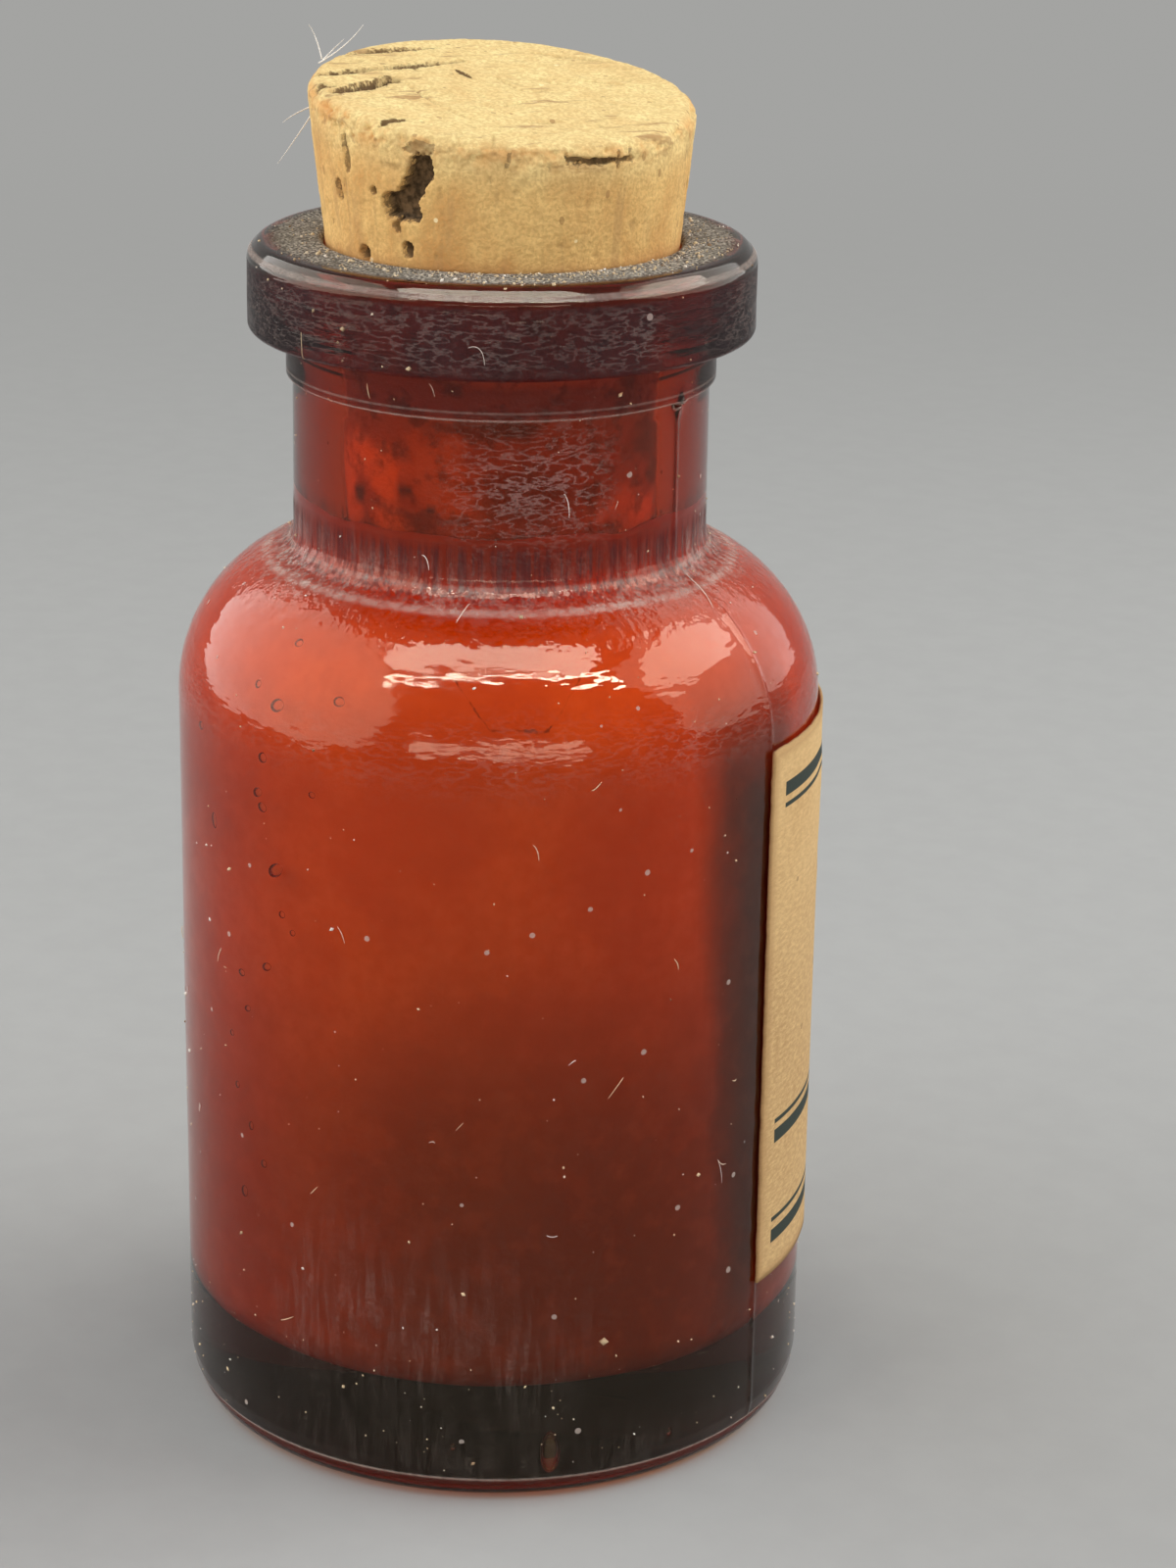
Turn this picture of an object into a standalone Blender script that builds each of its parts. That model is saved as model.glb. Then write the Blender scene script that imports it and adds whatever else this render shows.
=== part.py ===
"""A corked apothecary bottle of moulded glass, with its paper label and the powder that it holds.

The bottle stands on Z = 0 with its axis on +Z. The middle of the label faces -Y, and the two mould seams lie
at +X and -X. Every size is in metres, and every outline is a list of (radius, height) points.
"""

import math

import bmesh
import bpy
from mathutils import Matrix, Vector

# Glass, outside, from the base up
HEEL_RADIUS = 0.0012
HEEL_LAND = 0.0001
HEEL_SET_IN = 0.00025
HEEL_STEP = 0.00010
HEEL_RUN = 0.0008
BODY_RADIUS = 0.0165
BODY_HEIGHT = 0.03868
SHOULDER_RADIUS = 0.00807
NECK_FILLET = 0.00135
NECK_RADIUS = 0.0105
NECK_LENGTH = 0.00775
COLLAR_STEP = 0.0003
COLLAR_HEIGHT = 0.0023
LIP_REACH = 0.0019
LIP_HEIGHT = 0.0045
LIP_FOOT_FILLET = 0.0004
LIP_LOWER_EDGE = 0.0003
LIP_UPPER_EDGE = 0.0011

# Glass, under the base
BEARING_WIDTH = 0.0024
PUSH_UP_HEIGHT = 0.0015

# Glass, inside
BASE_THICKNESS = 0.0056
BODY_WALL = 0.0018
FLOOR_CORNER = 0.0020
THROAT_FILLET = 0.0030
BORE_SEAT_LENGTH = 0.0080
MOUTH_EDGE = 0.0004

# Mould seams
SEAM_WIDTH = 0.0005
SEAM_HEIGHT = 0.00010

# Cork
CORK_MOUTH_RADIUS = 0.00885
CORK_TAPER_share = 0.11
CORK_STAND = 0.0073
CORK_LENGTH = 0.0210
CORK_TOP_EDGE = 0.0007
CORK_FOOT_EDGE = 0.0004
CORK_CLEARANCE = 0.0001
CORK_CUT_SLANT = math.radians(7.6)
CORK_CUT_BEARING = math.radians(-27.4)

# Pits in the cork's side: bearing and lean in degrees, and between them the height as a share of the cork's
# stand, then the half width, half height and depth as shares of its radius at the mouth
CORK_PIT_shares = (
    (93.4, 0.42, 0.105, 0.215, 0.13, -18.0),
    (65.7, 0.43, 0.045, 0.070, 0.08, 0.0),
    (76.7, 0.14, 0.060, 0.055, 0.07, 40.0),
    (94.1, 0.13, 0.040, 0.050, 0.06, 0.0),
    (153.8, 0.71, 0.160, 0.036, 0.07, 0.0),
)

# Paper label
LABEL_WIDTH = 0.0530
LABEL_HEIGHT = 0.0292
LABEL_TOP_MARGIN = 0.0003
LABEL_THICKNESS = 0.00012
LABEL_CLEARANCE = 0.00005
LABEL_BEARING = math.radians(-90)

# Powder
HEADSPACE = 0.0045
POWDER_DISH = 0.0012
POWDER_CLEARANCE = 0.0003

# Facets
RING_STEPS = 60
SHOULDER_STEPS = 8
SMALL_ARC_STEPS = 3
PUSH_UP_STEPS = 5
LABEL_STEPS = 36
CORK_STEPS = 48
CORK_SIDE_STEPS = 4
DISH_STEPS = 4
PIT_STEPS = 2


def clear_scene():
    for obj in list(bpy.data.objects):
        bpy.data.objects.remove(obj)


def arc(centre, radius, start, end, steps=SMALL_ARC_STEPS):
    """Points along an arc about centre, between two angles in degrees."""
    angles = [math.radians(start + (end - start) * i / steps) for i in range(steps + 1)]
    return [(centre[0] + radius * math.cos(a), centre[1] + radius * math.sin(a)) for a in angles]


def shoulder(centre_radius, shoulder_radius, fillet, neck_radius):
    """The shoulder's arc from the wall inwards, and the fillet that turns it up into the neck.

    The two arcs are tangent, and a level run joins them where the neck is too slim for them to meet.
    """
    reach = neck_radius + fillet - centre_radius
    turn = math.acos(max(reach, 0) / (shoulder_radius + fillet))
    neck_base = BODY_HEIGHT + (shoulder_radius + fillet) * math.sin(turn)
    angle = math.degrees(turn)
    rise = arc((centre_radius, BODY_HEIGHT), shoulder_radius, 0, angle, SHOULDER_STEPS)
    hollow = arc((neck_radius + fillet, neck_base), fillet, 180 + angle, 180)
    return rise + (hollow if reach < 0 else hollow[1:])


OUTER_SHOULDER = shoulder(BODY_RADIUS - SHOULDER_RADIUS, SHOULDER_RADIUS, NECK_FILLET, NECK_RADIUS)
COLLAR_BASE = OUTER_SHOULDER[-1][1] + NECK_LENGTH
COLLAR_RADIUS = NECK_RADIUS + COLLAR_STEP
LIP_BASE = COLLAR_BASE + COLLAR_HEIGHT
LIP_RADIUS = COLLAR_RADIUS + LIP_REACH
LIP_TOP = LIP_BASE + LIP_HEIGHT
PARTING_HEIGHT = HEEL_RADIUS + HEEL_LAND
CORK_FOOT = CORK_STAND - CORK_LENGTH
LABEL_FOOT = BODY_HEIGHT - LABEL_TOP_MARGIN - LABEL_HEIGHT
POWDER_LEVEL = LIP_TOP + CORK_FOOT - HEADSPACE


def cork_radius(height):
    """The cork's radius at a height over the lip."""
    return CORK_MOUTH_RADIUS + CORK_TAPER_share * height


def bore_radius(depth):
    """The bore's radius at a depth below the lip, where it runs parallel to the cork."""
    return cork_radius(-depth) + CORK_CLEARANCE


def material(name, colour, roughness, transmission=0.0):
    """A Principled material in one colour."""
    made = bpy.data.materials.new(name)
    made.use_nodes = True
    shader = made.node_tree.nodes["Principled BSDF"]
    shader.inputs["Base Color"].default_value = (*colour, 1.0)
    shader.inputs["Roughness"].default_value = roughness
    shader.inputs["Metallic"].default_value = 0.0
    shader.inputs["Transmission Weight"].default_value = transmission
    made.diffuse_color = (*colour, 1.0)
    return made


def add_object(name, mesh, look, height=0.0):
    """A smooth-shaded object from a bmesh, its faces turned outwards and its origin on the axis."""
    bmesh.ops.recalc_face_normals(mesh, faces=mesh.faces)
    data = bpy.data.meshes.new(name)
    mesh.to_mesh(data)
    mesh.free()
    data.materials.append(look)
    data.shade_smooth()
    data.set_sharp_from_angle(angle=math.radians(40))
    obj = bpy.data.objects.new(name, data)
    obj.location.z = height
    bpy.context.collection.objects.link(obj)
    return obj


def turned(outline, bearings, place):
    """A bmesh turned about Z from an outline whose two ends lie on the axis.

    place(index, radius, height, bearing) gives the point of outline point index at a bearing.
    """
    mesh = bmesh.new()
    rings = []
    for index, (radius, height) in enumerate(outline):
        around = bearings if radius else bearings[:1]
        rings.append([mesh.verts.new(place(index, radius, height, b)) for b in around])
    for ring, other in zip(rings, rings[1:]):
        for i in range(len(bearings)):
            j = (i + 1) % len(bearings)
            square = ((ring, i), (ring, j), (other, j), (other, i))
            mesh.faces.new(dict.fromkeys(points[k % len(points)] for points, k in square))
    return mesh


def on_axis(radius, height, bearing):
    return Vector((radius * math.cos(bearing), radius * math.sin(bearing), height))


def evenly(steps):
    """That many bearings round the whole circle."""
    return [math.tau * i / steps for i in range(steps)]


def hollow(gap):
    """The inside of the bottle, from its throat down to the middle of the floor, drawn in by a gap."""
    wall = BODY_RADIUS - BODY_WALL
    throat = bore_radius(BORE_SEAT_LENGTH) - gap
    neck = shoulder(
        BODY_RADIUS - SHOULDER_RADIUS, SHOULDER_RADIUS - BODY_WALL - gap, THROAT_FILLET + gap, throat
    )
    corner = arc((wall - FLOOR_CORNER, BASE_THICKNESS + FLOOR_CORNER), FLOOR_CORNER - gap, 0, -90)
    return neck[::-1] + corner + [(0, BASE_THICKNESS + gap)]


def glass_outline():
    """The bottle's outline, and beside it how far a seam stands out at each of its points."""
    foot = BODY_RADIUS - HEEL_SET_IN - HEEL_RADIUS
    push_up = [
        ((foot - BEARING_WIDTH) * math.sin(t), PUSH_UP_HEIGHT * math.cos(t))
        for t in [math.radians(90) * i / PUSH_UP_STEPS for i in range(PUSH_UP_STEPS + 1)]
    ]
    push_up[-1] = (foot - BEARING_WIDTH, 0)
    heel = arc((foot, HEEL_RADIUS), HEEL_RADIUS, -90, 0) + [(foot + HEEL_RADIUS, PARTING_HEIGHT)]
    ledge = [(BODY_RADIUS - HEEL_SET_IN + HEEL_STEP, PARTING_HEIGHT)]
    ledge += [(BODY_RADIUS, PARTING_HEIGHT + HEEL_RUN)]
    seamed = ledge + OUTER_SHOULDER + [(NECK_RADIUS, COLLAR_BASE)]
    lip = [(COLLAR_RADIUS, COLLAR_BASE)]
    lip += arc((COLLAR_RADIUS + LIP_FOOT_FILLET, LIP_BASE - LIP_FOOT_FILLET), LIP_FOOT_FILLET, 180, 90)
    lip += arc((LIP_RADIUS - LIP_LOWER_EDGE, LIP_BASE + LIP_LOWER_EDGE), LIP_LOWER_EDGE, -90, 0)
    lip += arc((LIP_RADIUS - LIP_UPPER_EDGE, LIP_TOP - LIP_UPPER_EDGE), LIP_UPPER_EDGE, 0, 90)
    lip += arc((bore_radius(MOUTH_EDGE) + MOUTH_EDGE, LIP_TOP - MOUTH_EDGE), MOUTH_EDGE, 90, 180)
    bore = [(bore_radius(BORE_SEAT_LENGTH), LIP_TOP - BORE_SEAT_LENGTH)]
    below = push_up + heel
    above = lip + bore + hollow(0)
    seams = [0] * len(below) + [SEAM_HEIGHT] * len(seamed) + [0] * len(above)
    return below + seamed + above, seams


def make_glass():
    """The bottle: push-up base, heel, shoulder, neck, collar and lip, tapered bore, and two mould seams."""
    outline, seams = glass_outline()
    half_seam = SEAM_WIDTH / 2 / BODY_RADIUS
    sides = [side + turn for side in (0, math.pi) for turn in (-half_seam, half_seam)]
    bearings = sorted(b % math.tau for b in evenly(RING_STEPS) + sides)

    def place(index, radius, height, bearing):
        on_seam = abs(math.sin(bearing)) < math.sin(half_seam) / 2
        return on_axis(radius + seams[index] * on_seam, height, bearing)

    look = material("amber_glass", (0.19, 0.022, 0.004), 0.08, transmission=0.6)
    return add_object("glass_bottle", turned(outline, bearings, place), look)


def make_powder():
    """The powder: it fills the hollow to just under the cork, and its top is a shallow dish."""
    inside = hollow(POWDER_CLEARANCE)
    below = next(i for i, (_, height) in enumerate(inside) if height < POWDER_LEVEL)
    (upper_radius, upper_height), (lower_radius, lower_height) = inside[below - 1 : below + 1]
    part = (POWDER_LEVEL - lower_height) / (upper_height - lower_height)
    edge = lower_radius + (upper_radius - lower_radius) * part
    steps = [i / DISH_STEPS for i in range(DISH_STEPS + 1)]
    dish = [(edge * s, POWDER_LEVEL - POWDER_DISH * (1 - s * s)) for s in steps]
    look = material("powder", (0.62, 0.20, 0.07), 0.9)

    def place(_, radius, height, bearing):
        return on_axis(radius, height, bearing)

    return add_object("powder_fill", turned(dish + inside[below:], evenly(RING_STEPS), place), look)


def cork_outline():
    """The cork's outline, with heights from the lip: the middle of its foot to the middle of its top."""
    foot, top = cork_radius(CORK_FOOT + CORK_FOOT_EDGE), cork_radius(CORK_STAND - CORK_TOP_EDGE)
    lower = arc((foot - CORK_FOOT_EDGE, CORK_FOOT + CORK_FOOT_EDGE), CORK_FOOT_EDGE, -90, 0)
    upper = arc((top - CORK_TOP_EDGE, CORK_STAND - CORK_TOP_EDGE), CORK_TOP_EDGE, 0, 90)
    heights = [(CORK_STAND - CORK_TOP_EDGE) * i / CORK_SIDE_STEPS for i in range(CORK_SIDE_STEPS)]
    side = [(cork_radius(h), h) for h in heights]
    return [(0, CORK_FOOT)] + lower + side + upper + [(0, CORK_STAND)]


def add_pits(cork, look):
    """Cuts the pits of natural cork into its side."""
    mesh = bmesh.new()
    for bearing, up, half_width, half_height, depth, lean in CORK_PIT_shares:
        height = up * CORK_STAND
        centre = on_axis(cork_radius(height), height, math.radians(bearing))
        sizes = [CORK_MOUTH_RADIUS * share for share in (depth, half_width, half_height)]
        turn = Matrix.Rotation(math.radians(bearing), 4, "Z") @ Matrix.Rotation(math.radians(lean), 4, "X")
        shape = Matrix.LocRotScale(centre, turn.to_quaternion(), sizes)
        bmesh.ops.create_icosphere(mesh, subdivisions=PIT_STEPS, radius=1, matrix=shape)
    cutter = add_object("cork_pit_cutter", mesh, look)
    cutter.parent = cork
    cutter.hide_render = True
    cutter.display_type = "WIRE"
    cut = cork.modifiers.new("pits", "BOOLEAN")
    cut.object = cutter
    cut.operation = "DIFFERENCE"
    cut.solver = "EXACT"


def make_cork():
    """The cork: tapered, rounded at its edges, and cut at a slant across its top."""
    slope = math.tan(CORK_CUT_SLANT)

    def place(_, radius, height, bearing):
        tilt = max(height, 0) / CORK_STAND * slope * radius * math.cos(bearing - CORK_CUT_BEARING)
        return on_axis(radius * (1 + CORK_TAPER_share * tilt / cork_radius(height)), height + tilt, bearing)

    look = material("cork", (0.66, 0.42, 0.16), 0.85)
    cork = add_object("cork_stopper", turned(cork_outline(), evenly(CORK_STEPS), place), look, LIP_TOP)
    add_pits(cork, look)
    return cork


def make_label():
    """The paper label: a thin sheet that wraps more than half of the body."""
    inner = BODY_RADIUS + SEAM_HEIGHT + LABEL_CLEARANCE
    outer = inner + LABEL_THICKNESS
    half_turn = LABEL_WIDTH / outer / 2
    mesh = bmesh.new()
    sections = []
    for i in range(LABEL_STEPS + 1):
        bearing = LABEL_BEARING + half_turn * (2 * i / LABEL_STEPS - 1)
        corners = ((inner, 0), (outer, 0), (outer, LABEL_HEIGHT), (inner, LABEL_HEIGHT))
        sections.append([mesh.verts.new(on_axis(radius, height, bearing)) for radius, height in corners])
    for here, there in zip(sections, sections[1:]):
        for k in range(len(here)):
            mesh.faces.new((here[k], there[k], there[k - 1], here[k - 1]))
    mesh.faces.new(sections[0])
    mesh.faces.new(sections[-1])
    look = material("label_paper", (0.56, 0.37, 0.16), 0.8)
    return add_object("paper_label", mesh, look, LABEL_FOOT)


def main():
    clear_scene()
    make_glass()
    make_powder()
    make_cork()
    make_label()


main()
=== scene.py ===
"""Dresses an apothecary bottle: amber glass, cork, paper label, caked powder, dust, and the studio round it.

Everything is in metres in the CAD frame: the bottle stands on Z = 0 with its axis on +Z, the middle of the
label faces -Y, and the mould seams lie at +X and -X. A bearing is an angle about Z counted from +X.
"""

import math

import bpy
import numpy as np
from bpy.props import FloatProperty, FloatVectorProperty, IntProperty, PointerProperty
from mathutils import Matrix, Vector


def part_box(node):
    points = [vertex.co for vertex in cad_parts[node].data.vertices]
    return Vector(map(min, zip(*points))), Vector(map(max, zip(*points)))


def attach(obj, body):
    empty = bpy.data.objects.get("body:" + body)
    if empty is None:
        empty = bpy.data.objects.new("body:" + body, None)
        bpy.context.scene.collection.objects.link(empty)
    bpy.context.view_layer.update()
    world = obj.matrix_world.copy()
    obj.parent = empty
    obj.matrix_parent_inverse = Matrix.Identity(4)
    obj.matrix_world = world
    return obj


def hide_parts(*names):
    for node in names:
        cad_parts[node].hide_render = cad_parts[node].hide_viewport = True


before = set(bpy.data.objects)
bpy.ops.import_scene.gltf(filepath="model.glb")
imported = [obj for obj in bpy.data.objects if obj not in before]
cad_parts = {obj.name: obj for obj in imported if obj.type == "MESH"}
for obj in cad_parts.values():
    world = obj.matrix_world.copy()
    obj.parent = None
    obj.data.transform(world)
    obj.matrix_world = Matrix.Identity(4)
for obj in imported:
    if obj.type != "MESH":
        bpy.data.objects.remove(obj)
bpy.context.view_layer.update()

bl_info = {
    "name": "Apothecary bottle",
    "version": (1, 0, 0),
    "blender": (4, 5, 0),
    "location": "View3D > Sidebar > Bottle",
    "description": "Makes the glass, cork, label, powder and dust of a small apothecary bottle",
    "category": "Add Mesh",
}

MM = 0.001
GLASS_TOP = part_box("glass_bottle")[1].z
CORK_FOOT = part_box("cork_stopper")[0].z
LABEL_LOW, LABEL_HIGH = (corner.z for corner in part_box("paper_label"))
POWDER_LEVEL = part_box("powder_fill")[1].z
# Outside this radius the glass's outline has left the base
SIDE_RADIUS = 15 * MM


# Settings

def length(name, default, description):
    """A size, given here in millimetres."""
    return FloatProperty(
        name=name, description=description, default=default * MM, min=0.0, unit="LENGTH", subtype="DISTANCE",
        precision=5,
    )


def colour(name, default, description):
    return FloatVectorProperty(
        name=name, description=description, default=default, size=3, min=0.0, max=1.0, subtype="COLOR"
    )


def number(name, default, description, low=0.0, high=1.0):
    return FloatProperty(name=name, description=description, default=default, min=low, max=high)


def angle(name, default, description):
    """An angle, given here in degrees."""
    return FloatProperty(
        name=name, description=description, default=math.radians(default), min=-7.0, max=7.0, unit="ROTATION"
    )


class GlassSettings(bpy.types.PropertyGroup):
    """Sizes and colour of the moulded bottle."""

    body_radius: length("Body radius", 16.5, "Outside radius of the body")
    body_height: length("Body height", 38.68, "Height at which the shoulder starts")
    shoulder_radius: length("Shoulder radius", 8.07, "Radius of the shoulder's arc")
    neck_radius: length("Neck radius", 10.5, "Outside radius of the neck")
    neck_fillet: length("Neck fillet", 1.35, "Fillet between shoulder and neck")
    collar_radius: length("Collar radius", 10.8, "Radius of the collar under the lip")
    collar_height: length("Collar height", 2.3, "Height of the collar under the lip")
    lip_radius: length("Lip radius", 12.7, "Outside radius of the lip")
    lip_height: length("Lip height", 4.5, "Height of the lip's side")
    lip_edge: length("Lip edge", 0.6, "Radius of both corners of the bevel round the lip's upper edge")
    bevel_width: length("Bevel width", 0.60, "How far that bevel reaches in over the lip")
    bevel_drop: length("Bevel drop", 0.68, "How far that bevel reaches down the lip's side")
    mouth_radius: length("Mouth radius", 8.95, "Radius of the bore at the lip")
    throat_radius: length("Throat radius", 8.07, "Radius of the bore below the cork's seat")
    throat_fillet: length("Throat fillet", 3.0, "Fillet where the throat opens into the body")
    seat_length: length("Seat length", 8.0, "Depth of the tapered part of the bore")
    wall: length("Wall", 1.8, "Thickness of the body's wall")
    base_thickness: length("Base thickness", 5.6, "Height of the inside floor")
    floor_corner: length("Floor corner", 2.0, "Radius of the corner between floor and wall")
    heel_radius: length("Heel radius", 1.2, "Radius of the heel's lower edge")
    heel_set_in: length("Heel set-in", 0.25, "How far the heel lies inside the body's surface")
    bearing_width: length("Bearing width", 2.4, "Width of the ring that the bottle stands on")
    push_up: length("Push-up", 1.5, "Height of the hollow under the base")
    seam_height: length("Seam height", 0.06, "How far a mould seam stands out")
    waviness: length("Waviness", 0.12, "How uneven the inside of the glass is")
    clear: colour("Glass colour", (0.92, 0.61, 0.02), "Colour that the glass lets through")
    density: number("Density", 1500.0, "How strongly the glass absorbs, for each metre", high=10000.0)
    sheen: colour("Sheen", (1.0, 0.82, 0.60), "Tint of what the glass reflects")
    ior: number("Refractive index", 1.46, "Refractive index of the glass", 1.0, 2.5)


class PowderSettings(bpy.types.PropertyGroup):
    """The contents."""

    dish: length("Dish", 1.2, "Depth of the hollow in the powder's top")
    contact: length("Contact", 0.03, "How far the powder's skin lies inside the glass, so that it shows wet")
    coat: length("Coat", 0.25, "Thickness of the powder that clings to the glass above its level")
    coat_top: length("Coat top", 49.1, "Height up to which powder clings to the glass")
    loose: colour("Loose powder", (0.95, 0.58, 0.36), "Colour of the loose powder")
    caked: colour("Caked powder", (0.74, 0.36, 0.20), "Colour of the caked powder")


class CorkSettings(bpy.types.PropertyGroup):
    """Sizes and colours of the cork."""

    mouth_radius: length("Radius", 8.85, "The cork's radius at the lip")
    taper: number("Taper", 0.11, "How much its radius grows for each unit of height")
    stand: length("Stand", 7.3, "Height of the middle of its top above the lip")
    edge: length("Edge", 0.7, "Radius of its worn upper edge")
    seat: length("Seat", 8.0, "Depth over which it tapers; below that it is pressed straight")
    slant: angle("Slant", 7.6, "Slant of its cut top")
    slant_bearing: angle("Slant bearing", -27.4, "Bearing of the top's high side")
    light: colour("Cork, light", (0.86, 0.69, 0.315), "Colour of the cork's pale grain")
    dark: colour("Cork, dark", (0.60, 0.36, 0.13), "Colour of the cork's dark grain")
    # Painted shade inside the pits, cracks and pores
    pit: colour("Pits", (0.045, 0.025, 0.008), "Colour inside the cork's pits")


class LabelSettings(bpy.types.PropertyGroup):
    """Sizes and colours of the label."""

    width: length("Width", 53.0, "Width of the label along the glass")
    radius: length("Radius", 16.77, "Radius of its outer face")
    thickness: length("Thickness", 0.15, "Thickness of the paper")
    inset: length("Inset", 1.4, "Distance of the printed rules from the label's edges")
    paper: colour("Paper", (0.60, 0.39, 0.17), "Colour of the aged paper")
    stain: colour("Stain", (0.50, 0.30, 0.12), "Colour of the paper's stains")
    ink: colour("Ink", (0.022, 0.030, 0.022), "Colour of the printed rules")


class DustSettings(bpy.types.PropertyGroup):
    """Dust, specks and fibres that lie on the bottle."""

    film: length("Film", 0.02, "Height of the dust film above the glass")
    specks: IntProperty(name="Specks", description="Number of dust specks", default=700, min=0)
    grains: IntProperty(name="Grains", description="Number of grains of grit on the lip", default=620, min=0)
    fibres: IntProperty(name="Fibres", description="Number of short fibres", default=14, min=0)
    tone: colour("Dust", (0.55, 0.48, 0.42), "Colour of the dust")
    seed: IntProperty(name="Seed", description="Seed of the scatter", default=7)


class StudioSettings(bpy.types.PropertyGroup):
    """Camera, floor and lights."""

    camera_bearing: angle("Camera bearing", 125.1, "Bearing of the camera")
    camera_distance: length("Camera distance", 188.54, "Distance of the camera from the bottle's axis")
    camera_height: length("Camera height", 98.82, "Height of the camera above the table")
    pitch: number("Pitch", 0.3348, "How far the camera looks down, in radians", -2.0, 2.0)
    yaw: number("Yaw", 0.0249, "How far the camera looks to its right, in radians", -2.0, 2.0)
    roll: number("Roll", 0.0167, "How far the camera leans, in radians", -2.0, 2.0)
    lens: number("Lens", 87.71, "Focal length in millimetres on a 36 mm sensor", 1.0, 500.0)
    floor: colour("Floor", (0.37, 0.37, 0.36), "Colour of the floor and the backdrop")
    gleam: colour("Gleam", (0.80, 0.94, 1.0), "Colour of the lamps that only leave highlights")
    sky: number("Sky", 0.05, "Strength of the light from all round", high=10.0)


SETTINGS = {
    "bottle_glass": GlassSettings,
    "bottle_powder": PowderSettings,
    "bottle_cork": CorkSettings,
    "bottle_label": LabelSettings,
    "bottle_dust": DustSettings,
    "bottle_studio": StudioSettings,
}


# Numbers on grids

# Random values along each side of the noise's lattice, which then repeats
LATTICE = 32
# The most that an arc turns between two points
ARC_STEP = math.radians(9)


def smooth(value, low, high):
    """0 below low, 1 above high, and s*s*(3 - 2*s) between them."""
    part = np.clip((value - low) / (high - low), 0, 1)
    return part * part * (3 - 2 * part)


def hump(value, centre, half_width):
    """A bell curve exp(-(x/w)^2) round a centre."""
    return np.exp(-(((value - centre) / half_width) ** 2))


def turned_from(bearing, degrees):
    """A bearing as seen from another one, between half a turn to the left and half a turn to the right."""
    return (bearing - math.radians(degrees) + math.pi) % math.tau - math.pi


def facing(bearing, degrees):
    """The cosine of the turn away from a bearing: 1 there, and 0 at a quarter turn."""
    return np.cos(bearing - math.radians(degrees))


def polar(radius, bearing, height):
    """Points (radius*cos(bearing), radius*sin(bearing), height)."""
    parts = np.broadcast_arrays(radius * np.cos(bearing), radius * np.sin(bearing), height)
    return np.stack(parts, axis=-1)


def bearing_of(points):
    """The angle of each point about Z: arctan2(y, x)."""
    return np.arctan2(points[..., 1], points[..., 0])


def lattice_noise(points, size, seed):
    """Smooth noise from -1 to 1: random values on a cubic lattice of that size, blended with s*s*(3 - 2*s)."""
    table = np.random.default_rng(seed).uniform(-1, 1, (LATTICE,) * 3)
    scaled = np.asarray(points) / size
    low = np.floor(scaled).astype(int)
    part = scaled - low
    part = part * part * (3 - 2 * part)
    total = 0
    for corner in np.ndindex(2, 2, 2):
        share = np.prod(np.where(np.array(corner) == 1, part, 1 - part), axis=-1)
        index = (low + np.array(corner)) % LATTICE
        total = total + share * table[index[..., 0], index[..., 1], index[..., 2]]
    return total


def layered_noise(points, size, seed, layers=3):
    """Lattice noise summed over layers, each half as large and half as strong as the one before."""
    strengths = [0.5**i for i in range(layers)]
    parts = [s * lattice_noise(points, size * s, seed + i) for i, s in enumerate(strengths)]
    return sum(parts) / sum(strengths)


def spread(points, step):
    """A polyline whose runs are divided so that none is longer than step, without points that repeat."""
    dense = [points[0]]
    for start, end in zip(points, points[1:]):
        count = math.ceil(np.linalg.norm(end - start) / step - 1e-6)
        dense += [start + (end - start) * i / count for i in range(1, count + 1)]
    return np.array(dense)


def rounded(corners, step):
    """An outline through corners (radius, height, fillet radius), each corner rounded by a tangent arc.

    A fillet of radius f at a corner that turns by angle t starts f*tan(t/2) before it.
    """
    points = [np.array(corners[0][:2])]
    for before, corner, after in zip(corners, corners[1:], corners[2:]):
        here = np.array(corner[:2])
        inward, outward = here - np.array(before[:2]), np.array(after[:2]) - here
        inward, outward = inward / np.linalg.norm(inward), outward / np.linalg.norm(outward)
        turn = math.atan2(inward[0] * outward[1] - inward[1] * outward[0], float(inward @ outward))
        side = np.array((-inward[1], inward[0])) * math.copysign(corner[2], turn)
        centre = here - inward * corner[2] * math.tan(abs(turn) / 2) + side
        count = max(2, math.ceil(abs(turn) / ARC_STEP), math.ceil(corner[2] * abs(turn) / step))
        turns = turn * np.arange(count + 1) / count
        across, ahead = np.cos(turns)[:, None], np.sin(turns)[:, None]
        points += list(centre - side * across - np.array((-side[1], side[0])) * ahead)
    points.append(np.array(corners[-1][:2]))
    return spread(points, step)


def outline_normals(outline):
    """Unit normals to the right of an outline's run: the direction between each point's neighbours, turned."""
    along = np.gradient(outline, axis=0)
    along /= np.maximum(np.linalg.norm(along, axis=1, keepdims=True), 1e-12)
    return np.stack((along[:, 1], -along[:, 0]), axis=1)


def turned_grid(outline, bearings, lift=0.0):
    """An outline turned about Z: a point for each of its points and each bearing, lifted along the normal."""
    normals = outline_normals(outline)
    return polar(outline[:, :1] + normals[:, :1] * lift, bearings, outline[:, 1:] + normals[:, 1:] * lift)


def grid_quads(rows, columns, wrap):
    """Corner indices of the quads of a grid, joined round its columns if wrap is set."""
    row, column = np.meshgrid(np.arange(rows - 1), np.arange(columns - (not wrap)), indexing="ij")
    there = (column + 1) % columns
    quads = (row * columns + column, row * columns + there, (row + 1) * columns + there, (row + 1) * columns + column)
    return np.stack(quads, axis=-1).reshape(-1, 4)


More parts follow.
